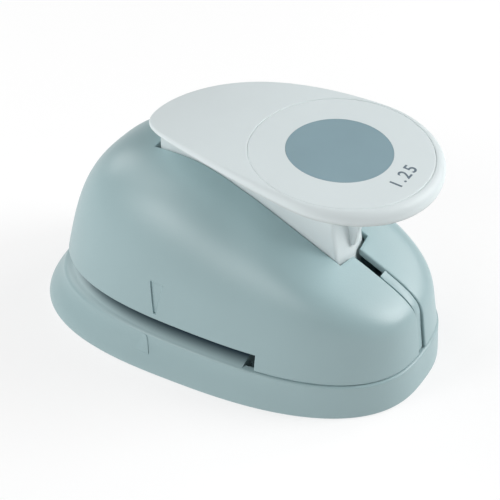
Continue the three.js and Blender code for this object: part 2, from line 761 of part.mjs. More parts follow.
function makeSpring(side) {
  const [low, high] = springLimits();
  const steps = springTurns * coilSteps;
  const pitch = (high - low) / springTurns;
  const climb = pitch / (2 * Math.PI * springMeanRadius);
  const rings = Array.from({ length: steps + 1 }, (_, step) => {
    const turn = 2 * Math.PI * step / coilSteps;
    const outwards = new THREE.Vector3(Math.cos(turn), Math.sin(turn), 0);
    const forwards = new THREE.Vector3(-Math.sin(turn), Math.cos(turn), climb).normalize();
    const sideways = forwards.clone().cross(outwards);
    const centre = new THREE.Vector3(dieX, side * postY, low + (high - low) * step / steps)
      .addScaledVector(outwards, springMeanRadius);
    return Array.from({ length: coilSides }, (__, corner) => {
      const angle = 2 * Math.PI * corner / coilSides;
      return centre.clone().addScaledVector(outwards, springWireRadius * Math.cos(angle))
        .addScaledVector(sideways, springWireRadius * Math.sin(angle)).toArray();
    });
  });
  const middle = (points) => points[0].map((_, axis) => (
    points.reduce((sum, point) => sum + point[axis], 0) / points.length));
  return skin(rings, middle(rings[0]), middle(rings[rings.length - 1]));
}

function springGap() {
  const [low, high] = springLimits();
  const pitch = (high - low) / springTurns;
  return pitch - 2 * springWireRadius;
}

// Pivot bracket, pin, bushes and clips

function makePivotBracket() {
  const cheek = [[bracketRearX, onGuide], [bracketCheekFrontX, onGuide],
    [bracketCheekFrontX, bracketShoulderZ], ...arc([pivotX, pivotZ], bracketEye, 0, Math.PI),
    [bracketRearX, bracketShoulderZ]];
  const pieces = bothSides.map((side) => sidePlate(cheek,
    side > 0 ? [cheekInner, cheekOuter] : [-cheekOuter, -cheekInner]));
  const floor = block([bracketRearX, bracketFloorFrontX], across(2 * cheekOuter),
    [onGuide, onGuide + bracketSheet]);
  const holes = bothSides.map((side) => screwHole(bracketScrew, bracketScrewX, side * bracketScrewY,
    [0, onGuide + bracketSheet + cutPast]));
  const bore = crosswise(pivotPinRadius + runGap, pivotX, pivotZ, wholeWidth);
  return cut(join(floor, ...pieces), bore, ...holes);
}

function makePivotPin() {
  const end = clipOuterY + seatGap + pinEnd;
  const half = [[pinGrooveRadius, clipInnerY - seatGap], [pinGrooveRadius, clipOuterY + seatGap],
    [pivotPinRadius, clipOuterY + seatGap], [pivotPinRadius, end], [0, end]];
  const shoulder = [pivotPinRadius, clipInnerY - seatGap];
  const mirrored = [shoulder, ...half].map(([r, y]) => [r, -y]).reverse();
  return turnedCrosswise([...mirrored, shoulder, ...half], pivotX, pivotZ);
}

function makePivotBush(side) {
  const bore = pivotPinRadius + runGap;
  const near = side * (leverOuterWidth / 2 + runGap);
  const far = side * (cheekInner - runGap);
  return turnedCrosswise([[bore, near], [bushRadius, near], [bushRadius, far], [bore, far], [bore, near]],
    pivotX, pivotZ);
}

function makePivotClip(side) {
  const from = -Math.PI / 2 + clipMouth / 2;
  const to = 3 * Math.PI / 2 - clipMouth / 2;
  const centre = [pivotX, pivotZ];
  const points = [...arc(centre, clipRadius, from, to), ...arc(centre, clipBore, to, from)];
  return sidePlate(points, side > 0 ? [clipInnerY, clipOuterY] : [-clipOuterY, -clipInnerY]);
}

// Lever

function coverHeight(x) {
  const ahead = Math.max(archStartX - x, 0) / (archStartX - tipX);
  return bodyTop + padRise + (x - padHeightX) * padSlope - archDrop * ahead ** archPower;
}

function coverThickness(x) {
  const share = Math.min(Math.max((x - tipX) / (padX + padRadius - tipX), 0), 1);
  return tipThickness + (padThickness - tipThickness) * share ** thicknessPower;
}

// Half a circle round the pad, drawn out to a blunt tip over the pivot
function coverOutlinePoint(turn) {
  const along = Math.cos(turn);
  const sideways = Math.sin(turn);
  if (along >= 0) return [padX + padRadius * along, padRadius * sideways];
  return [padX - (padX - tipX) * Math.abs(along) ** (2 / tipOutlinePower),
    padRadius * signedPower(sideways, 2 * tipWidthPower)];
}

// The outline moved inwards, by a distance that may depend on the place along it
function coverRing(insetAt, heightAt) {
  const nudge = Math.PI / outlineFacets / 8;
  return ring((turn) => {
    const [x, y] = coverOutlinePoint(turn);
    const [beforeX, beforeY] = coverOutlinePoint(turn - nudge);
    const [afterX, afterY] = coverOutlinePoint(turn + nudge);
    const length = Math.hypot(afterX - beforeX, afterY - beforeY);
    const inset = insetAt(x);
    const innerX = x - (afterY - beforeY) / length * inset;
    const innerY = y + (afterX - beforeX) / length * inset;
    return [innerX, innerY, heightAt(innerX)];
  });
}

function shrunkRing(outline, share, heightAt) {
  return outline.map(([x, y]) => {
    const innerX = coverCentreX + (x - coverCentreX) * share;
    return [innerX, y * share, heightAt(innerX)];
  });
}

function rimScale(x) {
  return Math.min(coverThickness(x) / (rimRound + rimFoot), 1);
}

function makeCover() {
  const skinDepth = inlayDepth + inlayThickness + seatGap + coverSkin;
  const underside = (x) => coverHeight(x) - coverThickness(x);
  const hollowTop = (x) => coverHeight(x) - Math.min(skinDepth, coverThickness(x) - rimStep);
  const flatShares = [0.3, 0.55, 0.8];
  const roundShares = [0, 0.25, 0.5, 0.75, 1];
  const innerOutline = coverRing(() => coverRimWall, hollowTop);
  const topOutline = coverRing((x) => rimRound * rimScale(x), coverHeight);
  const roundRings = roundShares.map((share) => {
    const angle = share * Math.PI / 2;
    return coverRing((x) => rimRound * rimScale(x) * (1 - Math.cos(angle)),
      (x) => coverHeight(x) - rimRound * rimScale(x) * (1 - Math.sin(angle)));
  });
  const rings = [
    ...flatShares.map((share) => shrunkRing(innerOutline, share, hollowTop)),
    innerOutline,
    coverRing(() => coverRimWall, underside),
    coverRing((x) => rimFoot * rimScale(x), underside),
    coverRing(() => 0, (x) => underside(x) + rimFoot * rimScale(x)),
    ...roundRings,
    ...flatShares.map((share) => shrunkRing(topOutline, share, coverHeight)).reverse(),
  ];
  return skin(rings, [coverCentreX, 0, hollowTop(coverCentreX)],
    [coverCentreX, 0, coverHeight(coverCentreX)]);
}

// A round patch that follows the cover's surface, between two depths below it
function coverPatch(centreX, radius, deep, shallow) {
  const patchShares = [0.5, 1];
  const rim = (share, depth) => ring((turn) => {
    const x = centreX + radius * share * Math.cos(turn);
    return [x, radius * share * Math.sin(turn), coverHeight(x) - depth];
  });
  const rings = [
    ...patchShares.map((share) => rim(share, deep)),
    ...patchShares.map((share) => rim(share, shallow)).reverse(),
  ];
  return skin(rings, [centreX, 0, coverHeight(centreX) - deep], [centreX, 0, coverHeight(centreX) - shallow]);
}

function makeSideWall(side) {
  const topSteps = Array.from({ length: profileSteps + 1 }, (_, step) => (
    leverRearX + (frontWallX(coverHeight(leverFrontX)) - leverRearX) * step / profileSteps));
  const top = topSteps.map((x) => [x, coverHeight(x) - coverThickness(x) / 2]);
  const eyeTurn = Math.acos((leverRearX - pivotX) / pivotEye);
  const points = [
    ...arc([pressPinX, pressPinZ], pressEye, -Math.PI / 2 - Math.PI / 8, -Math.PI / 2 + Math.PI / 8),
    [leverKneeX, leverKneeZ], [leverFrontX, leverFrontBottom],
    ...top.reverse(),
    ...arc([pivotX, pivotZ], pivotEye, eyeTurn, 3 * Math.PI / 2 + Math.PI / 8),
  ];
  const inner = leverInnerWidth / 2;
  return sidePlate(points, side > 0 ? [inner, inner + leverWall] : [-inner - leverWall, -inner]);
}

function frontWallX(height) {
  return leverFrontX - leverFrontLean * (height - leverFrontBottom);
}

// The front wall: a shallow bow with rounded corners, leaning back a little
function makeFrontWall() {
  const half = leverOuterWidth / 2;
  const top = coverHeight(leverFrontX) - padThickness / 2;
  const back = leverFrontX - leverWall;
  const corners = bothSides.map((side) => arc([leverFrontX - leverCorner, side * (half - leverCorner)],
    leverCorner, side > 0 ? 0 : -Math.PI / 2, side > 0 ? Math.PI / 2 : 0));
  const points = [[back, -half], ...corners[0], [leverFrontX + leverFrontPoint, 0], ...corners[1],
    [back, half]];
  const shape = new THREE.ExtrudeGeometry(outlineShape(points), {
    depth: top - leverFrontBottom,
    bevelEnabled: false,
  });
  shape.applyMatrix4(new THREE.Matrix4().makeShear(0, 0, 0, 0, -leverFrontLean, 0));
  shape.translate(0, 0, leverFrontBottom);
  return solid(shape);
}

function makeGusset() {
  const top = coverHeight(leverFrontX) - padThickness / 2;
  const points = [
    [frontWallX(gussetBottom), gussetBottom],
    [frontWallX(gussetBottom) + leverFrontPoint + gussetToe, gussetBottom],
    [leverFrontX + gussetReach, top],
    [frontWallX(top), top],
  ];
  return sidePlate(points, across(gussetWidth));
}

function makeLeverHandle() {
  const half = leverOuterWidth / 2;
  const rearTop = coverHeight(leverRearX) - coverThickness(leverRearX) / 2;
  const rearWall = block([leverRearX, leverRearX + leverWall], [-half, half], [leverRearBottom, rearTop]);
  const body = join(makeCover(), makeSideWall(-1), makeSideWall(1), makeFrontWall(), makeGusset(), rearWall);
  const recess = coverPatch(inlayX, inlayRadius + seatGap, inlayDepth + inlayThickness + seatGap, -cutPast);
  const pivotBore = crosswise(pivotPinRadius + runGap, pivotX, pivotZ, wholeWidth);
  const pressBore = crosswise(pressPinRadius + seatGap, pressPinX, pressPinZ, wholeWidth);
  return cut(body, recess, pivotBore, pressBore);
}

function makePadInlay() {
  const plate = coverPatch(inlayX, inlayRadius, inlayDepth + inlayThickness, inlayDepth);
  const discDepth = inlayDepth + sizeDiscThickness + seatGap;
  return cut(plate, coverPatch(sizeDiscX, cutterRadius + seatGap, discDepth, -cutPast));
}

function makeSizeDisc() {
  return coverPatch(sizeDiscX, cutterRadius, inlayDepth + sizeDiscThickness, inlayDepth);
}

// Screws

const flushSeat = bodyLip + seatGap / 2 + flushScrew.headHeight + seatGap;

function makeDieScrew(x, side, tip) {
  return screwUp(dieScrew, x, side * dieScrewY, pocketUnderside - 2 * seatGap, tip);
}

function makeShellScrew(x, y, tip) {
  return screwUp(shellScrew, x, y, floorUnderside - 2 * seatGap, tip);
}

function makeFlushScrew(side) {
  return screwUp(flushScrew, shellRearX, side * shellRearY, flushSeat - seatGap, onGuide + shellThread);
}

function makeBracketScrew(side) {
  return screwDown(bracketScrew, bracketScrewX, side * bracketScrewY, onGuide + bracketSheet + seatGap,
    bodyLip + seatGap);
}

function makeCutterScrew(side) {
  return screwDown(cutterScrew, dieX, side * cutterScrewY, plungerFlangeTop + seatGap,
    cutterTop - cutterThread);
}

// The whole punch

node('base', makeBase(), bodyLook);
node('body_shell', makeBodyShell(), bodyLook);
node('front_spine', makeFrontSpine(), bodyLook);
node('die_plate', makeDiePlate(), toolLook);
node('throat_spacer', makeThroatSpacer(), plateLook);
node('guide_plate', makeGuidePlate(), plateLook);
node('pivot_bracket', makePivotBracket(), plateLook);
node('pivot_pin', makePivotPin(), toolLook);
node('cutter', makeCutter(), toolLook);
node('plunger', makePlunger(), plungerLook);
node('lever_handle', makeLeverHandle(), leverLook);
node('pad_inlay', makePadInlay(), leverLook);
node('size_disc', makeSizeDisc(), discLook);
node('press_pin', crosswise(pressPinRadius, pressPinX, pressPinZ, across(leverOuterWidth + 2 * pressPinPast)),
  toolLook);
node('spine_screw', makeShellScrew(spineFootX, 0, floorHeight + spineBossHeight - seatGap), screwLook);
for (const [name, side] of [['left', -1], ['right', 1]]) {
  node(`guide_post_${name}`, makeGuidePost(side), toolLook);
  node(`return_spring_${name}`, makeSpring(side), springLook);
  node(`pivot_bush_${name}`, makePivotBush(side), plungerLook);
  node(`pivot_clip_${name}`, makePivotClip(side), springLook);
  node(`throat_screw_${name}`, makeDieScrew(throatScrewX, side, guideTop - seatGap), screwLook);
  node(`die_screw_${name}`, makeDieScrew(dieRearScrewX, side, dieTop - seatGap), screwLook);
  node(`front_shell_screw_${name}`, makeShellScrew(shellFrontX, side * shellFrontY,
    floorHeight + seatGap + shellThread), screwLook);
  node(`rear_shell_screw_${name}`, makeFlushScrew(side), screwLook);
  node(`bracket_screw_${name}`, makeBracketScrew(side), screwLook);
  node(`cutter_screw_${name}`, makeCutterScrew(side), screwLook);
}

console.log(`Least gap between the turns of a return spring: ${springGap().toFixed(2)} mm`);

export default part;
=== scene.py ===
import json
from math import acos, asin, atan2, copysign, cos, exp, hypot, log, pi, radians, sin, sqrt

import bmesh
import bpy
from mathutils import Matrix, Vector


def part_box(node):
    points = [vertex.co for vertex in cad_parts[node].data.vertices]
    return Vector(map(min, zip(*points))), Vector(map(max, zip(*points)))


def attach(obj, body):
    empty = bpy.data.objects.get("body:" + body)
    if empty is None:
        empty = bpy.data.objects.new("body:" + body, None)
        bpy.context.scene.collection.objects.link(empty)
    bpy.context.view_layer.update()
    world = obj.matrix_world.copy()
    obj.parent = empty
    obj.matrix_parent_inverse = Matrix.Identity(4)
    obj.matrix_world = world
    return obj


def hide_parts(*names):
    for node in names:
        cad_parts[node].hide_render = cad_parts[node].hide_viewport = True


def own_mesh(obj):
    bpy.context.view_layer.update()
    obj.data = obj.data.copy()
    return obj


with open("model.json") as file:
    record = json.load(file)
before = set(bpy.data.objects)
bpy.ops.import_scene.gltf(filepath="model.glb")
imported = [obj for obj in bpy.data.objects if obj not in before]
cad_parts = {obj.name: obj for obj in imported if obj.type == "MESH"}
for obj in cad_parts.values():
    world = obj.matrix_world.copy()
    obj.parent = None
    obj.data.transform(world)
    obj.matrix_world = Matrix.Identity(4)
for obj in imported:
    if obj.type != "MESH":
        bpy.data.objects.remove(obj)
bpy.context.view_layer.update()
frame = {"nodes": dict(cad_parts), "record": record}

# Units and shared clearances
MM = 0.001
seat_gap = 0.3
run_gap = 0.3
cut_past = 5

# Base: a flared moulded tray
foot_length = 134.6
foot_width = 84.2
foot_power = 2.6
foot_taper_share = -0.11
foot_round = 0.7
rim_height = 12.3
rim_ledge = 0.5
rim_round = 0.7
rear_rim_round = 2.4
rear_rim_reach = 60
base_wall = 2.4
deck_rise = 3.7
deck_shoulder = 8.5
slope_bend_share = 0.7
deck_thickness = 2.2
deck_end_x = 22.6
floor_drop = 2.6
floor_thickness = 2.2
rib_thickness = 1.6
rib_foot = 1.6

# Body: a domed shell with a steep front and a sloping top
body_centre_x = 2.5
body_length = 127.1
body_width = 75.2
body_power = 2.68
body_taper_share = -0.06
body_top = 61.7
top_slope = 0.44
top_break_x = -5.5
top_blend_length = 5
body_wall_powers = (10.65, 2.86, 4.67)  # at the front, the sides and the rear
body_draft_shares = (0.04, 0.13, 0.19)
body_wall = 2.2
throat_end_x = 26.5
edge_round = 0.45

# Alignment marks on the near side, beside the die's centre, one pressed in and one raised
mark_width = 4.2
mark_tip_width = 0.3
body_mark_x = -9.2
body_mark_rise = 2
body_mark_height = 10.6
body_mark_outs = (-0.58, 1)  # how far its narrow and its wide side lie out from the wall
body_mark_spread_shares = (0.05, 1.2)  # how its left and right sides spread over its depth
base_mark_x = -11.5
base_mark_drop = 0.8
base_mark_height = 5.2
base_mark_outs = (0.26, -0.4)
base_mark_spread_shares = (2.4, 0.1)

# Slot for the lever, the split down the front and the strip that fills it
slot_rear_x = -26.4
slot_front_x = 41.6
slot_point = 1.2
split_width = 3.9
spine_width = 3.2
spine_top_ahead = 9
spine_flange_width = 8
spine_flange_gap = 0.5
spine_flange_thickness = 1.6
spine_foot_inset = 10.55
spine_foot_length = 15
spine_foot_thickness = 2.2
spine_boss_height = 6
spine_edge = 0.25
spine_shift = -0.1
spine_recess = 0.85  # the strip's lower part lies this far behind the shell's surface
spine_bend_z = 34
spine_straight_z = 22

# Die set
disc_diameter = 31.75
die_x = -9.5
die_thickness = 3
die_ledge = 0.2
throat_height = 2.1
plate_rear_x = -33
plate_front_x = 16
plate_width = 53
throat_stop_x = 9
guide_thickness = 2
chip_clearance = 1.4
chute_wall = 2

# Lever: its pivot, its press pin and its channel-shaped arm
pivot_x = -27
pivot_z = 50
pivot_pin_radius = 2.5
press_pin_x = die_x
press_pin_z = 51.5
press_pin_radius = 2.5
lever_inner_width = 12.8
lever_wall = 1.8
lever_front_x = 40.2
lever_front_bottom = 34.8
lever_front_lean = 0.15
lever_front_point = 1.2
lever_corner = 1.4
lever_knee_x = 12
lever_knee_z = 46.9
lever_rear_x = -24.4
lever_rear_bottom = 56
pivot_eye = 5.4
press_eye = 4.4
arm_edge = 0.3
arm_past = 1
eye_slant = pi / 8

# Lever: its thumb pad and arched cover
pad_x = 35.6
pad_radius = 29.6
pad_rise = 14.6
pad_height_x = 33.9
pad_slope = -0.054
tip_x = -31.2
tip_outline_power = 1.57
tip_width_power = 0.46
arch_drop = 11.6
arch_start_x = 54.7
arch_power = 3.62
pad_thickness = 6.4
tip_thickness = 1.4
thickness_power = 1.3
cover_round = 2.6
cover_foot = 2.8
rim_step = 0.1
cover_centre_x = 15
cover_skin = 2.2
cover_rim_wall = 2.2
inlay_radius = 27.5
inlay_x = 34.6
groove_width = 0.05
inlay_thickness = 1.4
inlay_depth = 0.1
inlay_edge = 0.6
edge_depth_share = 0.45  # the rounded edges of the inlay and its recess are flat ellipses
disc_x = 33.9
disc_thickness = 0.5
disc_edge = 0.05
gusset_width = 2.6
gusset_bottom = 44.2
gusset_toe = 1
gusset_reach = 6
gusset_edge = 0.4

# Size mark on the pad
mark_text = "1.25"
mark_x = 57.0
mark_size = 5.6
mark_middle_y = -0.8
mark_boldness = 0.07
mark_spacing = 1.25
mark_lift = 0.03

# Return springs
post_y = 20.4
spring_mean_radius = 2.75
spring_wire_radius = 0.35
spring_turns = 5
spring_coil_steps = 32
spring_wire_sides = 10

# Screws, each with its shank and head radius and its head height
die_screw = {"shank": 1.5, "head": 2.7, "head_height": 1.8}
cutter_screw = {"shank": 1.3, "head": 2.4, "head_height": 1.6}
bracket_screw = {"shank": 1.3, "head": 2.4, "head_height": 1.5}
flush_screw = {"shank": 1.2, "head": 2.3, "head_height": 0.9}
shell_screw = {"shank": 1.4, "head": 2.9, "head_height": 1.8}
screw_pitch = 0.9
screw_thread_depth = 0.25
screw_head_edge = 0.35
screw_tip_length = 1
cross_width = 0.8
cross_length_share = 0.62  # of the head's width
cross_depth_share = 0.6  # of the head's height
boss_wall = 2
shell_thread = 7
die_rear_screw_x = -28.5
die_screw_y = 21.5
shell_front_x = 44
shell_front_y = 23
shell_rear_x = -33
shell_rear_y = 22.4
flush_boss_radius = 2.6

# Mesh fineness
outline_facets = 240
side_rows = 30
top_rows = 30
row_crowding = 1.5
round_facets = 96
small_facets = 32
arc_steps = 16
round_steps = 6
solve_rounds = 40
snap = 0.02
wall_rows = 24
slope_rows = 20
mark_rows = 12
cover_rows = 24
patch_rows = 16
arm_steps = 48
thread_rows = 6
letter_steps = 12
bevel_segments = 3
bevel_angle = radians(40)
smooth_angle = radians(32)
outline_nudge = pi / outline_facets / 8
merge_gap = 0.002
weld_gap = 0.0005

# Heights and widths that follow from the sizes above
deck_height = rim_height + deck_rise
floor_height = rim_height - floor_drop
body_seam = rim_height + seat_gap
die_top = deck_height + die_ledge
die_bottom = die_top - die_thickness
body_lip = die_top + throat_height
pocket_floor = die_bottom - seat_gap
pocket_underside = pocket_floor - deck_thickness
floor_underside = floor_height - floor_thickness
on_guide = body_lip + guide_thickness + seat_gap
inlay_bottom = inlay_depth + inlay_thickness
disc_bottom = inlay_depth + disc_thickness
disc_radius = disc_diameter / 2
die_hole_radius = disc_radius + run_gap
lever_half = lever_inner_width / 2 + lever_wall
slot_half = lever_half + run_gap
split_half = split_width / 2
spine_top_x = slot_front_x + spine_top_ahead
spine_foot_x = body_centre_x + body_length / 2 - spine_foot_inset
throat_screw_x = (throat_stop_x + plate_front_x) / 2
both_sides = (-1, 1)
far = foot_length  # farther out than any part reaches


# Meshes and solids


def add_object(name, data):
    piece = bpy.data.objects.new(name, data)
    bpy.context.scene.collection.objects.link(piece)
    return piece


def opened(mesh):
    shape = bmesh.new()
    shape.from_mesh(mesh)
    return shape


def store(shape, mesh):
    shape.to_mesh(mesh)
    shape.free()


def made(name, points, faces):
    mesh = bpy.data.meshes.new(name)
    mesh.from_pydata([[value * MM for value in point] for point in points], [], faces)
    shape = opened(mesh)
    bmesh.ops.recalc_face_normals(shape, faces=shape.faces)
    store(shape, mesh)
    return add_object(name, mesh)


def copy_of(piece):
    return add_object(piece.name, piece.data.copy())


def baked_mesh(piece):
    view = bpy.context.evaluated_depsgraph_get()
    return bpy.data.meshes.new_from_object(piece.evaluated_get(view))


def bake(piece):
    mesh = baked_mesh(piece)
    piece.modifiers.clear()
    piece.data = mesh
    return piece


def combine(operation, piece, others):
    for other in others:
        modifier = piece.modifiers.new(operation, "BOOLEAN")
        modifier.operation = operation
        modifier.solver = "MANIFOLD"
        modifier.object = other
    bake(piece)
    for other in others:
        bpy.data.objects.remove(other)
    return piece


# Keeps only a solid's largest connected part, without slivers that cuts leave behind
def largest_part(piece):
    shape = opened(piece.data)
    unseen = set(shape.verts)
    parts = []
    while unseen:
        part = [unseen.pop()]
        for vertex in part:  # the list grows as its neighbours are found
            for other in (edge.other_vert(vertex) for edge in vertex.link_edges):
                if other in unseen:
                    unseen.remove(other)
                    part.append(other)
        parts.append(part)
    parts.sort(key=len)
    strays = [vertex for part in parts[:-1] for vertex in part]
    bmesh.ops.delete(shape, geom=strays, context="VERTS")
    store(shape, piece.data)
    return piece


def weld(mesh):
    shape = opened(mesh)
    bmesh.ops.remove_doubles(shape, verts=shape.verts, dist=weld_gap * MM)
    store(shape, mesh)


def join(piece, *others):
    return combine("UNION", piece, others)


def cut(piece, *others):
    return combine("DIFFERENCE", piece, others)


def common(piece, *others):
    return combine("INTERSECT", piece, others)


def bevel(piece, width):
    modifier = piece.modifiers.new("bevel", "BEVEL")
    modifier.width = width * MM
    modifier.segments = bevel_segments
    modifier.limit_method = "ANGLE"
    modifier.angle_limit = bevel_angle
    return bake(piece)


# A closed skin over rings of equally many points; it starts and ends at one point
def skin(name, rings, first_point, last_point):
    count = len(rings[0])
    points = [point for ring_points in rings for point in ring_points] + [first_point, last_point]
    start = len(points) - 2
    end = len(points) - 1
    last = (len(rings) - 1) * count
    faces = []
    for step in range(count):
        following = (step + 1) % count
        faces.append((start, following, step))
        faces.append((end, last + step, last + following))
        for row in range(0, last, count):
            faces.append((row + step, row + following, row + following + count, row + step + count))
    return made(name, points, faces)


# A prism over a flat outline; place turns two outline values and a depth into a point
def prism(name, outline, limits, place):
    count = len(outline)
    points = [place(first, second, depth) for depth in limits for first, second in outline]
    faces = [tuple(range(count)), tuple(range(count, 2 * count))]
    for step in range(count):
        following = (step + 1) % count
        faces.append((step, following, following + count, step + count))
    return made(name, points, faces)


def block(xs, ys, zs):
    outline = [(xs[0], ys[0]), (xs[1], ys[0]), (xs[1], ys[1]), (xs[0], ys[1])]
    return flat_plate(outline, zs)


def flat_plate(outline, zs):
    return prism("plate", outline, zs, lambda x, y, z: (x, y, z))


def side_plate(outline, ys):
    return prism("plate", outline, ys, lambda x, z, y: (x, y, z))


def between(low, high, share):
    return low + (high - low) * share


def about(middle, width):
    return (middle - width / 2, middle + width / 2)


def middle_of(points):
    return sum((Vector(point) for point in points), Vector()) / len(points)


def circle(radius, facets):
    steps = [2 * pi * step / facets for step in range(facets)]
    return [(radius * cos(turn), radius * sin(turn)) for turn in steps]


def upright(radius, x, y, zs, facets=small_facets):
    return flat_plate([(x + cx, y + cy) for cx, cy in circle(radius, facets)], zs)


def crosswise(radius, x, z, ys):
    return side_plate([(x + cx, z + cz) for cx, cz in circle(radius, small_facets)], ys)


def arc(centre, radius, start, end):
    x, z = centre
    turns = [start + (end - start) * step / arc_steps for step in range(arc_steps + 1)]
    return [(x + radius * cos(turn), z + radius * sin(turn)) for turn in turns]


# Shares of the radius along a quarter round: gone inwards, and left to its end
def quarter_round(steps=round_steps):
    turns = [step / steps * pi / 2 for step in range(steps + 1)]
    return [(1 - cos(turn), 1 - sin(turn)) for turn in turns]


# How far a rounded edge of a radius drops at a distance in from the edge
def edge_drop(radius, distance):
    rest = radius - min(max(distance, 0), radius)
    return radius - sqrt(radius**2 - rest**2)


# Goes smoothly from 0 to 1, and holds these two beyond them
def eased(share):
    share = min(max(share, 0), 1)
    return share * share * (3 - 2 * share)


# Outlines of the base and the body


def signed_power(value, power):
    return copysign(abs(value) ** power, value)


def oval_point(turn, inset, length, width, power, taper):
    along = signed_power(cos(turn), 2 / power)
    sideways = signed_power(sin(turn), 2 / power)
    return along * (length - 2 * inset) / 2, sideways * (width - 2 * inset) / 2 * (1 + taper * along)


def foot_point(turn, inset):
    return oval_point(turn, inset, foot_length, foot_width, foot_power, foot_taper_share)


def body_oval(turn, inset):
    return oval_point(turn, inset, body_length, body_width, body_power, body_taper_share)


def body_outline_point(turn, inset):
    x, y = body_oval(turn, inset)
    return x + body_centre_x, y


def ring(place, *values, facets=outline_facets):
    return [place(2 * pi * step / facets, *values) for step in range(facets)]


def level_ring(place, inset, height):
    return ring(lambda turn: (*place(turn, inset), height))


# The turn at which the body's outline passes x on the near side, behind the middle
def near_turn(x):
    return -pi / 2 - asin((2 * (body_centre_x - x) / body_length) ** (body_power / 2))


body_mark_turn = near_turn(body_mark_x)
base_mark_turn = near_turn(base_mark_x)


# Body surface


def top_profile(x):
    fall = log(1 + exp((x - top_break_x) / top_blend_length))
    return body_top - top_slope * top_blend_length * fall


def by_side(turn, front, side, rear):
    end = front if cos(turn) > 0 else rear
    return between(side, end, cos(turn) ** 2)


# The climb runs from 0 at the seam, over the shoulder at a half, to 1 at the middle of the top
def body_point(turn, climb, inset):
    power = by_side(turn, *body_wall_powers)
    draft = by_side(turn, *body_draft_shares)
    shoulder = 0.5 ** (1 / power)
    share = shoulder * 2 * (climb if climb < 0.5 else 1 - climb)
    rest = (1 - share**power) ** (1 / power)
    rise = share if climb < 0.5 else rest
    spread = rest if climb < 0.5 else share
    reach = spread * (1 - draft * rise)
    out_x, out_y = body_oval(turn, inset)
    x = body_centre_x + reach * out_x
    return x, reach * out_y, rim_height + (top_profile(x) - inset - rim_height) * rise


def body_climbs():
    rising = [(1 - (1 - row / side_rows) ** row_crowding) / 2 for row in range(side_rows)]
    closing = [(1 + (row / top_rows) ** row_crowding) / 2 for row in range(top_rows)]
    return rising + closing


def body_wall_at(height):
    low = 0
    high = 1
    for _ in range(solve_rounds):
        middle = (low + high) / 2
        if body_point(body_mark_turn, middle, 0)[2] < height:
            low = middle
        else:
            high = middle
    return body_point(body_mark_turn, low, 0)


# Distance from a point of the body to the nearest cut edge, zero inside a cut
def edge_distance(x, y, z):
    point_length = hypot(slot_half, slot_point)
    past_front = (x - slot_front_x + slot_point) * slot_half + (abs(y) - slot_half) * slot_point
    past_end = max(slot_rear_x - x, past_front / point_length)
    slot = hypot(max(past_end, 0), max(abs(y) - slot_half, 0))
    split = hypot(max(slot_front_x - slot_point - x, 0), max(abs(y) - split_half, 0))
    lip = hypot(max(x - throat_end_x, 0), max(z - body_lip, 0))
    return min(slot, split, lip, max(z - body_seam, 0))


# The planes along which the body's skin gets extra points, so that its cut edges can be rounded
def edge_planes():
    planes = []
    for gone, _ in quarter_round():
        back = edge_round * gone
        for side in both_sides:
            for half in (slot_half, split_half):
                planes.append(((0, side * (half + back), 0), (0, 1, 0)))
            corner = (slot_front_x - slot_point, side * slot_half, 0)
            normal = Vector((slot_half, side * slot_point, 0)).normalized()
            planes.append((Vector(corner) + normal * back, normal))
        planes += [((x, 0, 0), (1, 0, 0)) for x in (slot_rear_x - back, throat_end_x + back)]
        planes += [((0, 0, z + back), (0, 0, 1)) for z in (body_lip, body_seam)]
    return planes


# The body's outer skin with rounded edges along every cut that is made in it later
def rounded_dome():
    shape = bmesh.new()
    turn_layer = shape.verts.layers.float.new("turn")
    climb_layer = shape.verts.layers.float.new("climb")
    rows = []
    for climb in body_climbs():
        row = []
        for step in range(outline_facets + 1):
            turn = 2 * pi * step / outline_facets
            vertex = shape.verts.new(body_point(turn, climb, 0))
            vertex[turn_layer] = turn
            vertex[climb_layer] = climb
            row.append(vertex)
        rows.append(row)
    for lower, upper in zip(rows, rows[1:]):
        for step in range(outline_facets):
            shape.faces.new((lower[step], lower[step + 1], upper[step + 1], upper[step]))
    for place, normal in edge_planes():
        whole = shape.verts[:] + shape.edges[:] + shape.faces[:]
        bmesh.ops.bisect_plane(shape, geom=whole, dist=snap, plane_co=place, plane_no=normal)
    for vertex in shape.verts:
        vertex.co = body_point(vertex[turn_layer], vertex[climb_layer], 0)
    bmesh.ops.remove_doubles(shape, verts=shape.verts[:], dist=merge_gap)
    shape.normal_update()
    for vertex in shape.verts:
        vertex.co -= vertex.normal * edge_drop(edge_round, edge_distance(*vertex.co))
    close_dome(shape)
    mesh = bpy.data.meshes.new("body_shell")
    bmesh.ops.scale(shape, vec=(MM, MM, MM), verts=shape.verts[:])
    bmesh.ops.recalc_face_normals(shape, faces=shape.faces)
    store(shape, mesh)
    return add_object("body_shell", mesh)


# Carries the open bottom edge down and caps it, and caps the small hole in the middle of the top
def close_dome(shape):
    lowest = [edge for edge in shape.edges if edge.is_boundary and edge.verts[0].co.z < body_seam]
    walls = bmesh.ops.extrude_edge_only(shape, edges=lowest)["geom"]
    for item in walls:
        if isinstance(item, bmesh.types.BMVert):
            item.co.z = rim_height - cut_past
    open_edges = [edge for edge in shape.edges if edge.is_boundary]
    bmesh.ops.holes_fill(shape, edges=open_edges, sides=0)


def inner_dome(inset):
    below = rim_height - cut_past
    rings = [level_ring(body_outline_point, inset, below)]
    rings += [ring(body_point, climb, inset) for climb in body_climbs()]
    return skin("inside", rings, (body_centre_x, 0, below), body_point(0, 1, inset))


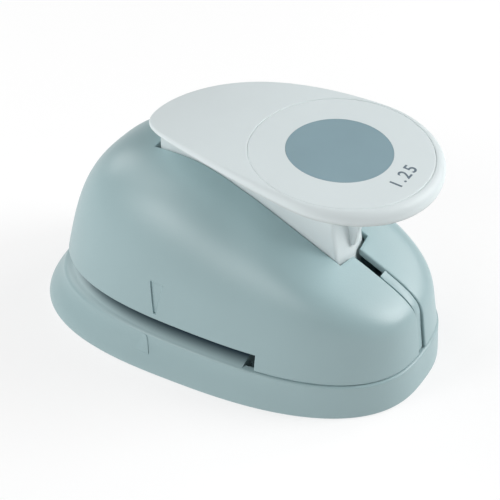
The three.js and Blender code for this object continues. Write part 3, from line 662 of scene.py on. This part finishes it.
# A triangle that follows a wall: narrow at one distance out from the wall, and wider at the other
def wall_mark(middle_x, wall_y, tip, root, outs, spread_shares):
    narrow_out, wide_out = outs
    rise = abs(wide_out - narrow_out)
    left, right = (share * rise for share in spread_shares)
    overrun = copysign(rise, root - tip)

    def corner(x, out, height):
        return x, wall_y(height) - out, height

    rings = []
    for row in range(mark_rows + 1):
        share = row / mark_rows
        height = between(tip, root, share)
        wide_height = height + overrun * share
        half = between(mark_tip_width, mark_width, share) / 2
        rings.append([
            corner(middle_x - half, narrow_out, height),
            corner(middle_x + half, narrow_out, height),
            corner(middle_x + half + right, wide_out, wide_height),
            corner(middle_x - half - left, wide_out, wide_height),
        ])
    return skin("mark", rings, middle_of(rings[0]), middle_of(rings[-1]))


# Body shell


def make_body_shell():
    shell = cut(rounded_dome(), inner_dome(body_wall))
    bosses = []
    pilots = []
    for side in both_sides:
        for x, y, radius, shank, bottom in (
            (shell_front_x, shell_front_y, shell_screw["head"] + seat_gap, shell_screw["shank"],
             floor_height + seat_gap),
            (shell_rear_x, shell_rear_y, flush_boss_radius, flush_screw["shank"], on_guide),
        ):
            bosses.append(upright(radius, x, side * y, (bottom, body_top)))
            pilots.append(upright(shank + run_gap, x, side * y, (0, bottom + shell_thread + seat_gap)))
    below_seam = block((-far, far), (-far, far), (-cut_past, body_seam))
    below_lip = block((-far, throat_end_x), (-far, far), (-cut_past, body_lip))
    cut(shell, below_seam, below_lip)
    front_room = block((0, foot_length / 2), about(0, (foot_width + body_width) / 2),
                       (rim_height - cut_past, body_seam))
    limit = join(inner_dome(body_wall / 2), front_room)
    inside = [common(boss, copy_of(limit)) for boss in bosses]
    bpy.data.objects.remove(limit)
    join(shell, *inside)
    corner = slot_front_x - slot_point
    outline = [(slot_rear_x, -slot_half), (corner, -slot_half), (slot_front_x, 0), (corner, slot_half),
               (slot_rear_x, slot_half)]
    slot = flat_plate(outline, (body_lip, body_top + cut_past))
    split = block((corner, far), about(0, split_width), (0, body_top))
    tip = body_lip + body_mark_rise
    mark = wall_mark(body_mark_x, lambda height: body_wall_at(height)[1], tip, tip + body_mark_height,
                     body_mark_outs, body_mark_spread_shares)
    return cut(shell, slot, split, mark, *pilots)


# Base


def skirt_point(turn, height, inset):
    swing = eased(height / rim_height)
    foot_x, foot_y = foot_point(turn, inset)
    rim_x, rim_y = body_outline_point(turn, inset - rim_ledge)
    return between(foot_x, rim_x, swing), between(foot_y, rim_y, swing), height


# The rounding of the rim grows towards the rear
def rim_round_at(turn):
    x, _ = body_outline_point(turn, 0)
    return between(rim_round, rear_rim_round, eased(-x / rear_rim_reach))


def wall_point(turn, share):
    return skirt_point(turn, between(foot_round, rim_height - rim_round_at(turn), share), 0)


# The rounding runs from the upright wall to the slope, and ends at the slope's tilt
def rim_point(turn, share):
    last = pi / 2 - atan2(deck_rise, deck_shoulder - rim_round)
    low_x, low_y, low = wall_point(turn, 1)
    high_x, high_y, high = slope_point(turn, 0)
    share_in = (1 - cos(share * last)) / (1 - cos(last))
    share_up = sin(share * last) / sin(last)
    return between(low_x, high_x, share_in), between(low_y, high_y, share_in), between(low, high, share_up)


def slope_point(turn, share):
    start = rim_round_at(turn) - rim_ledge
    inset = between(start, deck_shoulder - rim_ledge, share)
    return *body_outline_point(turn, inset), rim_height + deck_rise * share


def base_envelope():
    rings = [ring(skirt_point, foot_round * gone, foot_round * left) for gone, left in quarter_round()]
    for place, rows in ((wall_point, wall_rows), (rim_point, round_steps), (slope_point, slope_rows)):
        rings += [ring(place, row / rows) for row in range(1, rows + 1)]
    return skin("base", rings, (0, 0, 0), (body_centre_x, 0, deck_height))


# The room inside rings, cut off at two x; its end faces meet at points of their own x
def hollow_skin(rings, first_x, last_x, xs):
    room = skin("hollow", rings, (first_x, 0, rings[0][0][2]), (last_x, 0, rings[-1][0][2]))
    return common(room, block(xs, (-far, far), (-far, far)))


def foot_rings():
    return [level_ring(foot_point, base_wall, height) for height in (-cut_past, 0)]


def deck_hollow():
    underside = deck_height - deck_thickness
    bend = rim_height + deck_rise * slope_bend_share - deck_thickness
    rings = foot_rings() + [
        ring(skirt_point, rim_height / 2, base_wall),
        ring(skirt_point, rim_height - deck_thickness, base_wall),
        level_ring(body_outline_point, deck_shoulder * slope_bend_share, bend),
        level_ring(body_outline_point, deck_shoulder, underside),
    ]
    return hollow_skin(rings, 0, body_centre_x, (-far, deck_end_x - deck_thickness))


def floor_hollow():
    rings = foot_rings() + [ring(skirt_point, floor_underside, base_wall)]
    return hollow_skin(rings, 0, 0, (deck_end_x, far))


def front_well():
    above = deck_height + cut_past
    rings = [
        ring(skirt_point, floor_height, base_wall),
        ring(skirt_point, rim_height, base_wall),
        level_ring(body_outline_point, base_wall - rim_ledge, above),
    ]
    well = hollow_skin(rings, body_centre_x, body_centre_x, (deck_end_x, far))
    return join(well, block((deck_end_x, far), (-far, far), (rim_height, above)))


def make_base():
    outer = base_envelope()
    limit = copy_of(outer)
    shell = cut(outer, deck_hollow(), floor_hollow(), front_well())
    pocket_side = plate_width / 2 + seat_gap + deck_thickness
    pocket_rear = plate_rear_x - seat_gap - deck_thickness
    chute_radius = die_hole_radius + chip_clearance
    deck_ribs = (rib_foot, deck_height - deck_thickness / 2)
    floor_ribs = (rib_foot, floor_height - floor_thickness / 2)
    below_pocket = (rib_foot, pocket_floor)
    inside = [
        block((pocket_rear, plate_front_x + seat_gap + deck_thickness), (-pocket_side, pocket_side),
              (pocket_underside, deck_height)),
        block(about(plate_rear_x, rib_thickness), (-foot_width, foot_width), deck_ribs),
        upright(chute_radius + chute_wall, die_x, 0, below_pocket, round_facets),
    ]
    holes = [
        block((plate_rear_x - seat_gap, plate_front_x + seat_gap), about(0, plate_width + 2 * seat_gap),
              (pocket_floor, deck_height + cut_past)),
        upright(chute_radius, die_x, 0, (-cut_past, deck_height), round_facets),
    ]

    def screw_seat(screw, x, y, heights, underside):
        inside.append(upright(screw["head"] + boss_wall, x, y, heights))
        holes.append(upright(screw["head"] + run_gap, x, y, (-cut_past, underside - seat_gap)))
        holes.append(upright(screw["shank"] + run_gap, x, y, (-cut_past, deck_height)))

    screw_seat(shell_screw, spine_foot_x, 0, floor_ribs, floor_underside)
    for side in both_sides:
        rib_ys = about(side * pocket_side, rib_thickness)
        inside.append(block((-foot_length, deck_end_x), rib_ys, deck_ribs))
        for x in (throat_screw_x, die_rear_screw_x):
            screw_seat(die_screw, x, side * die_screw_y, below_pocket, pocket_underside)
        screw_seat(shell_screw, shell_front_x, side * shell_front_y, floor_ribs, floor_underside)
    inner = common(join(inside[0], *inside[1:]), limit)
    tip = rim_height - base_mark_drop
    mark = wall_mark(base_mark_x, lambda height: skirt_point(base_mark_turn, height, 0)[1], tip,
                     tip - base_mark_height, base_mark_outs, base_mark_spread_shares)
    return cut(join(shell, inner, mark), *holes)


# The strip that fills the split


def front_profile(inset, bottom):
    places = [body_point(0, climb, inset) for climb in body_climbs()]
    shown = [(x, z) for x, _, z in places if x > spine_top_x and z > bottom]
    return [(places[0][0], bottom), *shown, (spine_top_x, top_profile(spine_top_x) - inset)]


# How far the strip's outer face lies behind the shell's, growing below the bend
def strip_recess(z):
    return spine_recess * eased((spine_bend_z - z) / (spine_bend_z - spine_straight_z))


def make_front_spine():
    flange_outer = body_wall + spine_flange_gap
    flange_inner = flange_outer + spine_flange_thickness
    middle = flange_outer + spine_flange_thickness / 2
    limits = about(spine_shift, spine_width)
    shown = [(x - strip_recess(z), z) for x, z in front_profile(0, body_seam)]
    strip = bevel(side_plate(shown + front_profile(middle, body_seam)[::-1], limits), spine_edge)
    foot_bottom = floor_height + seat_gap
    band = front_profile(flange_outer, foot_bottom) + front_profile(flange_inner, foot_bottom)[::-1]
    flange = side_plate(band, about(0, spine_flange_width))
    foot_front = body_centre_x + body_length / 2 - middle
    foot = block((foot_front - spine_foot_length, foot_front), about(0, spine_flange_width),
                 (foot_bottom, foot_bottom + spine_foot_thickness))
    boss_top = foot_bottom + spine_boss_height
    boss = upright(shell_screw["shank"] + boss_wall, spine_foot_x, 0, (foot_bottom, boss_top))
    pilot = upright(shell_screw["shank"] + run_gap, spine_foot_x, 0, (0, boss_top - seat_gap))
    return cut(join(strip, flange, foot, boss), pilot)


# Lever cover


def cover_height(x):
    ahead = max(arch_start_x - x, 0) / (arch_start_x - tip_x)
    return body_top + pad_rise + (x - pad_height_x) * pad_slope - arch_drop * ahead**arch_power


def cover_thickness(x):
    share = min(max((x - tip_x) / (pad_x + pad_radius - tip_x), 0), 1)
    return between(tip_thickness, pad_thickness, share**thickness_power)


def cover_middle(x):
    return cover_height(x) - cover_thickness(x) / 2


def cover_outline_point(turn):
    along = cos(turn)
    sideways = sin(turn)
    if along >= 0:
        return pad_x + pad_radius * along, pad_radius * sideways
    x = pad_x - (pad_x - tip_x) * abs(along) ** (2 / tip_outline_power)
    return x, pad_radius * signed_power(sideways, 2 * tip_width_power)


# The outline moved inwards, by a distance that may depend on the place along it
def cover_rim(turn, inset_at, height_at):
    x, y = cover_outline_point(turn)
    before_x, before_y = cover_outline_point(turn - outline_nudge)
    after_x, after_y = cover_outline_point(turn + outline_nudge)
    length = hypot(after_x - before_x, after_y - before_y)
    inset = inset_at(x)
    inner_x = x - (after_y - before_y) / length * inset
    inner_y = y + (after_x - before_x) / length * inset
    return inner_x, inner_y, height_at(inner_x)


def shrunk_ring(outline, share, height_at):
    places = [(between(cover_centre_x, x, share), y * share) for x, y, _ in outline]
    return [(x, y, height_at(x)) for x, y in places]


# The cover's two edge radii shrink where it is too thin for them
def rim_radius(x, radius):
    return radius * min(cover_thickness(x) / (cover_round + cover_foot), 1)


def make_cover():
    skin_depth = inlay_bottom + seat_gap + cover_skin
    flat_shares = [row / cover_rows for row in range(1, cover_rows)]

    def underside(x):
        return cover_height(x) - cover_thickness(x)

    def hollow_top(x):
        return cover_height(x) - min(skin_depth, cover_thickness(x) - rim_step)

    inner_outline = ring(cover_rim, lambda x: cover_rim_wall, hollow_top)
    top_outline = ring(cover_rim, lambda x: rim_radius(x, cover_round), cover_height)
    rings = [shrunk_ring(inner_outline, share, hollow_top) for share in flat_shares]
    rings.append(inner_outline)
    rings.append(ring(cover_rim, lambda x: cover_rim_wall, underside))
    for gone, left in quarter_round():
        rings.append(ring(cover_rim, lambda x: rim_radius(x, cover_foot) * left,
                          lambda x: underside(x) + rim_radius(x, cover_foot) * gone))
    for gone, left in quarter_round(2 * round_steps):
        rings.append(ring(cover_rim, lambda x: rim_radius(x, cover_round) * gone,
                          lambda x: cover_height(x) - rim_radius(x, cover_round) * left))
    rings += [shrunk_ring(top_outline, share, cover_height) for share in reversed(flat_shares)]
    return skin("lever_handle", rings, (cover_centre_x, 0, hollow_top(cover_centre_x)),
                (cover_centre_x, 0, cover_height(cover_centre_x)))


def patch_ring(centre_x, distance, depth):
    places = [(centre_x + x, y) for x, y in circle(distance, outline_facets)]
    return [(x, y, cover_height(x) - depth) for x, y in places]


def patch_rings(centre_x, radius, depth):
    shares = [row / patch_rows for row in range(1, patch_rows + 1)]
    return [patch_ring(centre_x, radius * share, depth) for share in shares]


def patch_skin(name, rings, centre_x, deep, shallow):
    top = cover_height(centre_x)
    return skin(name, rings, (centre_x, 0, top - deep), (centre_x, 0, top - shallow))


# A round patch along the cover's surface between two depths below it, with a rounded upper edge
def cover_patch(name, centre_x, radius, deep, shallow, edge=0):
    rings = patch_rings(centre_x, radius - edge, deep)
    upper_rings = patch_rings(centre_x, radius - edge, shallow)[::-1]
    if edge:
        rings.append(patch_ring(centre_x, radius, deep))
        for gone, left in quarter_round():
            depth = shallow + edge * edge_depth_share * left
            rings.append(patch_ring(centre_x, radius - edge * gone, depth))
        upper_rings = upper_rings[1:]
    return patch_skin(name, rings + upper_rings, centre_x, deep, shallow)


# A round recess along the cover's surface; its edge rounds outwards at the top
def flared_recess(radius, deep):
    rings = patch_rings(inlay_x, radius, deep)
    for gone, left in quarter_round():
        depth = inlay_edge * edge_depth_share * left
        rings.append(patch_ring(inlay_x, radius + inlay_edge * gone, depth))
    rings.append(patch_ring(inlay_x, radius + inlay_edge, -cut_past))
    return patch_skin("recess", rings, inlay_x, deep, -cut_past)


# The lever's arm: a channel with a bowed front wall, cut from a plan outline and a side outline


def leaning(x, y, z):
    return x - lever_front_lean * (z - lever_front_bottom), y, z


def arm_plan(inset):
    half = lever_half - inset
    corner = max(lever_corner - inset, arm_edge)
    front = lever_front_x - inset
    rear = pivot_x - 2 * pivot_eye
    near = arc((front - corner, -half + corner), corner, -pi / 2, 0)
    away = arc((front - corner, half - corner), corner, 0, pi / 2)
    return [(rear, -half), *near, (front + lever_front_point, 0), *away, (rear, half)]


def arm_side():
    front = lever_front_x + lever_front_point + arm_past
    tops = [lever_rear_x + (front - lever_rear_x) * step / arm_steps for step in range(arm_steps + 1)]
    top = [(x, cover_middle(x)) for x in tops]
    eye_turn = acos((lever_rear_x - pivot_x) / pivot_eye)
    press = arc((press_pin_x, press_pin_z), press_eye, *about(-pi / 2, 2 * eye_slant))
    pivot = arc((pivot_x, pivot_z), pivot_eye, eye_turn, 3 * pi / 2 + eye_slant)
    return [*press, (lever_knee_x, lever_knee_z), (lever_front_x, lever_front_bottom),
            (front, lever_front_bottom), *top[::-1], *pivot]


def make_arm():
    zs = (lever_front_bottom - cut_past, body_top + pad_rise)
    outer = prism("arm", arm_plan(0), zs, leaning)
    inner = prism("room", arm_plan(lever_wall), zs, leaning)
    arm = common(outer, side_plate(arm_side(), (-foot_width, foot_width)))
    return bevel(cut(arm, inner), arm_edge)


def make_gusset():
    top = cover_height(lever_front_x) - pad_thickness / 2
    bottom_x, _, _ = leaning(lever_front_x, 0, gusset_bottom)
    top_x, _, _ = leaning(lever_front_x, 0, top)
    outline = [(bottom_x, gusset_bottom), (bottom_x + lever_front_point + gusset_toe, gusset_bottom),
               (lever_front_x + gusset_reach, top), (top_x, top)]
    return bevel(side_plate(outline, about(0, gusset_width)), gusset_edge)


def make_lever_handle():
    rear_wall = block((lever_rear_x, lever_rear_x + lever_wall), (-lever_half, lever_half),
                      (lever_rear_bottom, cover_middle(lever_rear_x)))
    handle = join(make_cover(), make_arm(), make_gusset(), rear_wall)
    recess = flared_recess(inlay_radius + groove_width, inlay_bottom + seat_gap)
    pivot_bore = crosswise(pivot_pin_radius + run_gap, pivot_x, pivot_z, (-far, far))
    press_bore = crosswise(press_pin_radius + seat_gap, press_pin_x, press_pin_z, (-far, far))
    return cut(handle, recess, pivot_bore, press_bore)


def make_pad_inlay():
    plate = cover_patch("pad_inlay", inlay_x, inlay_radius, inlay_bottom, inlay_depth, inlay_edge)
    recess = cover_patch("recess", disc_x, disc_radius + disc_edge, disc_bottom + seat_gap, -cut_past)
    return cut(plate, recess)


def make_size_disc():
    return cover_patch("size_disc", disc_x, disc_radius, disc_bottom, inlay_depth, disc_edge)


# The size mark: plain figures that lie on the inlay and read from the front
def make_size_mark():
    letters = bpy.data.curves.new("size_mark", "FONT")
    letters.body = mark_text
    letters.size = mark_size * MM
    letters.align_x = "CENTER"
    letters.space_character = mark_spacing
    letters.offset = mark_boldness * MM
    letters.extrude = 2 * mark_lift * MM
    letters.resolution_u = letter_steps
    text = add_object("letters", letters)
    mesh = baked_mesh(text)
    bpy.data.objects.remove(text)
    weld(mesh)
    for vertex in mesh.vertices:
        reading, upwards, lift = vertex.co
        x = mark_x * MM - upwards
        height = (cover_height(x / MM) - inlay_depth) * MM
        vertex.co = (x, reading + mark_middle_y * MM, height + lift - mark_lift * MM)
    return add_object("size_mark", mesh)


# Return springs: one wire along a helix, closed flat at both ends
def make_spring(name, side):
    low, high = spring_limits(name)
    steps = spring_turns * spring_coil_steps
    climb = (high - low) / spring_turns / (2 * pi * spring_mean_radius)
    rings = []
    for step in range(steps + 1):
        turn = 2 * pi * step / spring_coil_steps
        outwards = Vector((cos(turn), sin(turn), 0))
        forwards = Vector((-sin(turn), cos(turn), climb)).normalized()
        sideways = forwards.cross(outwards)
        centre = Vector((die_x, side * post_y, low + (high - low) * step / steps))
        centre += outwards * spring_mean_radius
        wire = circle(spring_wire_radius, spring_wire_sides)
        rings.append([centre + outwards * out + sideways * aside for out, aside in wire])
    return skin(f"coil_{name}", rings, middle_of(rings[0]), middle_of(rings[-1]))


def spring_limits(name):
    low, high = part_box(name)
    return low.z / MM + spring_wire_radius, high.z / MM - spring_wire_radius


def screw_point(turn, x, y, z, radius_at):
    radius = radius_at(turn)
    return x + radius * cos(turn), y + radius * sin(turn), z


# Screws: a round head with a cross recess on a threaded shank
def make_screw(node, size, head_on_top):
    low, high = (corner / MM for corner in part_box(node))
    x, y = (low.x + high.x) / 2, (low.y + high.y) / 2
    face, tip, towards_tip = (high.z, low.z, -1) if head_on_top else (low.z, high.z, 1)
    length = high.z - low.z
    head_height = size["head_height"]

    def row(depth, radius_at):
        return ring(screw_point, x, y, face + towards_tip * depth, radius_at, facets=round_facets)

    def thread(depth):
        taper = min((length - depth) / screw_tip_length, 1)

        def radius(turn):
            phase = (depth / screw_pitch + turn / (2 * pi)) % 1
            crest = size["shank"] - screw_thread_depth * abs(2 * phase - 1)
            return crest * (1 + taper) / 2

        return radius

    rings = []
    for gone, left in reversed(quarter_round()):
        rings.append(row(screw_head_edge * left, lambda turn: size["head"] - screw_head_edge * gone))
    rings.append(row(head_height, lambda turn: size["head"]))
    rows = round((length - head_height) / screw_pitch * thread_rows)
    for step in range(rows + 1):
        depth = head_height + (length - head_height) * step / rows
        rings.append(row(depth, thread(depth)))
    screw = skin("screw", rings, (x, y, face), (x, y, tip))
    reach = size["head"] * cross_length_share
    zs = sorted((face - towards_tip, face + towards_tip * head_height * cross_depth_share))
    long_way = block((x - reach, x + reach), about(y, cross_width), zs)
    short_way = block(about(x, cross_width), (y - reach, y + reach), zs)
    return cut(screw, join(long_way, short_way))


# Materials: first the sizes and values of their patterns
drift_size = 18
drift_detail = 3
fine_detail = 4
fine_roughness = 0.6
plastic_ior = 1.5
line_size = 0.4
line_height = 0.01
tone_stop_shares = (0.3, 0.7)

# Painted shade: the paper slot's floor darkens inwards between these two heights, where the body's lip
# shades it
slot_shade_start_z = 12.5
slot_shade_full_z = 14.3
slot_shade_tint = (0.05, 0.085, 0.12)

# Painted shade and light on the lever, by how far its surface faces down, from straight down to upright
rim_shade_and_light_tints = (
    (0.04, (1.2, 1.2, 1.2)),
    (0.16, (0.66, 0.63, 0.6)),
    (0.5, (0.85, 0.84, 0.83)),
    (0.9, (1, 1, 1)),
)


def material(name):
    look = bpy.data.materials.new(name)
    look.use_nodes = True
    tree = look.node_tree
    shader = tree.nodes["Principled BSDF"]
    place = add_node(tree, "ShaderNodeTexCoord", {}, "Object")
    return look, tree, shader, place


# An input is linked where its value is another node's output, and set to the value elsewhere
def set_inputs(tree, node, inputs):
    for name, value in inputs.items():
        if isinstance(value, bpy.types.NodeSocket):
            tree.links.new(value, node.inputs[name])
        else:
            node.inputs[name].default_value = value


def add_node(tree, kind, inputs, output, operation=None):
    node = tree.nodes.new(kind)
    if operation:
        node.operation = operation
    set_inputs(tree, node, inputs)
    return node.outputs[output]


def noise(tree, place, size, detail=2, roughness=0.5):
    values = {"Vector": place, "Scale": 1 / (size * MM), "Detail": detail, "Roughness": roughness}
    return add_node(tree, "ShaderNodeTexNoise", values, "Fac")


def ramp(tree, value, stops):
    node = tree.nodes.new("ShaderNodeValToRGB")
    elements = node.color_ramp.elements
    while len(elements) < len(stops):
        elements.new(1)
    for element, (position, colour) in zip(elements, stops):
        element.position = position
        element.color = (*colour, 1)
    tree.links.new(value, node.inputs["Fac"])
    return node.outputs["Color"]


def map_range(tree, value, low, high, start=0, end=1):
    values = {"Value": value, "From Min": start, "From Max": end, "To Min": low, "To Max": high}
    return add_node(tree, "ShaderNodeMapRange", values, "Result")


def upright_part(tree, vector):
    return add_node(tree, "ShaderNodeSeparateXYZ", {"Vector": vector}, "Z")


def surface_tilt(tree):
    return upright_part(tree, add_node(tree, "ShaderNodeNewGeometry", {}, "Normal"))


def tones(colour, spread):
    levels = zip(tone_stop_shares, (1 - spread, 1 + spread))
    return [(stop, tuple(value * level for value in colour)) for stop, level in levels]


# Colour follows one pattern, and roughness and relief another
def patterned(tree, shader, broad, fine, colour, drift, roughness, height):
    relief = {"Height": fine, "Strength": 1, "Distance": height * MM}
    set_inputs(tree, shader, {
        "Base Color": ramp(tree, broad, tones(colour, drift)),
        "Roughness": map_range(tree, fine, *roughness),
        "Normal": add_node(tree, "ShaderNodeBump", relief, "Normal"),
    })


# A moulded plastic: a little colour drift over the surface and a fine grain in its skin
def moulded(name, colour, drift, roughness, grain, grain_height):
    look, tree, shader, place = material(name)
    broad = noise(tree, place, drift_size, drift_detail)
    fine = noise(tree, place, grain, fine_detail, fine_roughness)
    patterned(tree, shader, broad, fine, colour, drift, roughness, grain_height)
    shader.inputs["IOR"].default_value = plastic_ior
    return look


# A metal with fine lines along one axis
def drawn_metal(name, colour, drift, roughness, stretch):
    look, tree, shader, place = material(name)
    stretched = add_node(tree, "ShaderNodeMapping", {"Vector": place, "Scale": stretch}, "Vector")
    lines = noise(tree, stretched, line_size, fine_detail, fine_roughness)
    patterned(tree, shader, lines, lines, colour, drift, roughness, line_height)
    shader.inputs["Metallic"].default_value = 1
    return look


# Multiplies a material's colour by a tint
def tinted(look, tint):
    tree = look.node_tree
    colour = tree.nodes["Principled BSDF"].inputs["Base Color"]
    values = {0: colour.links[0].from_socket, 1: tint}
    tree.links.new(add_node(tree, "ShaderNodeVectorMath", values, "Vector", "MULTIPLY"), colour)
    return look


# Paints shade onto the upward faces of a plastic inside the paper slot, where the body's lip overhangs
# them
def painted_slot_shade(look):
    tree = look.node_tree
    place = tree.nodes["Texture Coordinate"].outputs["Object"]
    fade = map_range(tree, upright_part(tree, place), 0, 1, slot_shade_start_z * MM, slot_shade_full_z * MM)
    upward = add_node(tree, "ShaderNodeMath", {0: surface_tilt(tree), 1: 0}, "Value", "GREATER_THAN")
    shade = add_node(tree, "ShaderNodeMath", {0: fade, 1: upward}, "Value", "MULTIPLY")
    return tinted(look, ramp(tree, shade, [(0, (1, 1, 1)), (1, slot_shade_tint)]))


# Tints a plastic by its tilt: painted shade where its rim turns under, and painted light on its flat
# underside
def rim_painted_shade_and_light(look):
    tree = look.node_tree
    tilt = map_range(tree, surface_tilt(tree), 0, 1, -1, 0)
    return tinted(look, ramp(tree, tilt, rim_shade_and_light_tints))


# A plastic's colour, colour drift, range of roughness, and the size and height of its grain
body_values = ((0.312, 0.431, 0.449), 0.015, (0.33, 0.45), 0.6, 0.03)
lever_values = ((0.65, 0.715, 0.726), 0.01, (0.46, 0.56), 0.9, 0.004)
slot_looks = {
    "body_plastic": moulded("shown_body_plastic", *body_values),
    "lever_plastic": rim_painted_shade_and_light(moulded("shown_lever_plastic", *lever_values)),
    "disc_colour": moulded("shown_disc_plastic", (0.23, 0.337, 0.38), 0.03, (0.5, 0.6), 0.3, 0.01),
    "dark_plastic": moulded("dark_plastic", (0.045, 0.05, 0.055), 0.08, (0.45, 0.55), 0.4, 0.01),
    "sheet_steel": drawn_metal("sheet_steel", (0.5, 0.51, 0.52), 0.06, (0.3, 0.42), (1, 12, 1)),
    "tool_steel": drawn_metal("tool_steel", (0.36, 0.37, 0.38), 0.08, (0.2, 0.32), (12, 1, 1)),
    "spring_steel": drawn_metal("spring_steel", (0.4, 0.41, 0.42), 0.05, (0.22, 0.3), (1, 1, 8)),
    "screw_steel": drawn_metal("screw_steel", (0.5, 0.5, 0.5), 0.06, (0.26, 0.36), (1, 1, 8)),
}
# The base's plastic carries painted shade inside the paper slot
base_plastic = painted_slot_shade(moulded("shown_base_plastic", *body_values))
print_ink = moulded("print_ink", (0.135, 0.18, 0.215), 0.03, (0.5, 0.6), 0.3, 0.002)


# Pieces on their bodies


def place_piece(piece, body, slot, *nodes, look=None):
    piece.data.materials.clear()
    piece.data.materials.append(look or slot_looks[slot])
    piece.data.shade_smooth()
    piece.data.set_sharp_from_angle(angle=smooth_angle)
    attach(piece, body)
    if nodes:
        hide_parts(*nodes)
    return piece


node_slots = {entry["node"]: entry["material_slot"] for entry in frame["record"]["subparts"]}
for node, carried in frame["nodes"].items():
    carried.data.materials.clear()
    carried.data.materials.append(slot_looks[node_slots[node]])

for node, body, maker in (
    ("base", "root", make_base),
    ("body_shell", "root", make_body_shell),
    ("front_spine", "root", make_front_spine),
    ("lever_handle", "lever", make_lever_handle),
    ("pad_inlay", "lever", make_pad_inlay),
    ("size_disc", "lever", make_size_disc),
):
    shown = largest_part(maker())
    shown.name = f"shown_{node}"
    place_piece(shown, body, node_slots[node], node, look=base_plastic if node == "base" else None)

place_piece(make_size_mark(), "lever", "disc_colour", look=print_ink)

for node, side in (("return_spring_left", -1), ("return_spring_right", 1)):
    coil = place_piece(make_spring(node, side), "root", "spring_steel", node)
    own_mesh(coil)


def show_screw(node, body, size, head_on_top):
    screw = make_screw(node, size, head_on_top)
    screw.name = f"shown_{node}"
    place_piece(screw, body, "screw_steel", node)


for side_name in ("left", "right"):
    for kind, body, size, head_on_top in (
        ("throat_screw", "root", die_screw, False),
        ("die_screw", "root", die_screw, False),
        ("front_shell_screw", "root", shell_screw, False),
        ("rear_shell_screw", "root", flush_screw, False),
        ("bracket_screw", "root", bracket_screw, True),
        ("cutter_screw", "plunger", cutter_screw, True),
    ):
        show_screw(f"{kind}_{side_name}", body, size, head_on_top)
show_screw("spine_screw", "root", shell_screw, False)


# Camera: its roll and its place follow the photograph's
camera_azimuth = radians(32.12)
camera_elevation = radians(38.07)
camera_roll = radians(-0.13)
camera_distance = 450
camera_target = Vector((3.03, 0, 30))
frame_pixels = 500
focal_pixels = 1404
axis_pixel_y = 239.84
camera_sensor = 36
camera_near = 45


# The direction of a turn from the near side, anticlockwise from above, and of a rise over the floor
def direction(azimuth, elevation):
    return Vector((sin(azimuth) * cos(elevation), -cos(azimuth) * cos(elevation), sin(elevation)))


lens = bpy.data.cameras.new("camera")
lens.sensor_width = camera_sensor
lens.lens = camera_sensor * focal_pixels / frame_pixels
lens.shift_y = (axis_pixel_y - frame_pixels / 2) / frame_pixels
lens.clip_start = camera_near * MM
camera = add_object("camera", lens)
back = direction(camera_azimuth, camera_elevation)
level = Vector((cos(camera_azimuth), sin(camera_azimuth), 0))
up = back.cross(level)
right = level * cos(camera_roll) + up * sin(camera_roll)
top = up * cos(camera_roll) - level * sin(camera_roll)
turn = Matrix((right, top, back)).transposed().to_4x4()
camera.matrix_world = Matrix.Translation((camera_target + back * camera_distance) * MM) @ turn
bpy.context.scene.camera = camera


# Floor: a matt ground with a little glow of its own
floor_reach = 30000
floor_tone = (0.3, 0.3, 0.3)
floor_drift = 0.01
floor_drift_size = 400
floor_glow = 0.68
floor_roughness = 0.9
floor_shine = 0.1

limits = (-floor_reach, floor_reach)
floor = made("floor", [(x, y, 0) for x in limits for y in limits], [(0, 2, 3, 1)])
floor_look, tree, shader, place = material("floor")
set_inputs(tree, shader, {
    "Base Color": ramp(tree, noise(tree, place, floor_drift_size), tones(floor_tone, floor_drift)),
    "Emission Color": (1, 1, 1, 1),
    "Emission Strength": floor_glow,
    "Roughness": floor_roughness,
    "Specular IOR Level": floor_shine,
})
floor.data.materials.append(floor_look)


# Light: soft lamps all round, the strongest on the right
room_brightness = 0.05
lamp_distance = 800
lamps = {  # azimuth from the camera's, elevation, size and brightness
    "right_lamp": (92, 30, 420, 0.8),
    "rear_right_lamp": (124, 30, 320, 0.26),
    "front_left_lamp": (-30, 30, 320, 0.19),
    "left_lamp": (-60, 30, 320, 0.34),
    "high_left_lamp": (-90, 52, 420, 0.19),
    "rear_left_lamp": (-128, 30, 420, 0.27),
}


# A soft round lamp that faces the part
def soft_lamp(name, azimuth, elevation, size, brightness):
    lamp = bpy.data.lights.new(name, "AREA")
    lamp.shape = "DISK"
    lamp.size = size * MM
    lamp.energy = brightness * (pi * lamp_distance * MM) ** 2
    towards = direction(camera_azimuth + radians(azimuth), radians(elevation))
    holder = add_object(name, lamp)
    holder.location = (camera_target + towards * lamp_distance) * MM
    holder.rotation_euler = (-towards).to_track_quat("-Z", "Y").to_euler()


for lamp_name, values in lamps.items():
    soft_lamp(lamp_name, *values)

room = bpy.data.worlds.new("room")
room.use_nodes = True
background = room.node_tree.nodes["Background"]
set_inputs(room.node_tree, background, {"Color": (1, 1, 1, 1), "Strength": room_brightness})
bpy.context.scene.world = room
bpy.context.scene.view_settings.view_transform = "Standard"
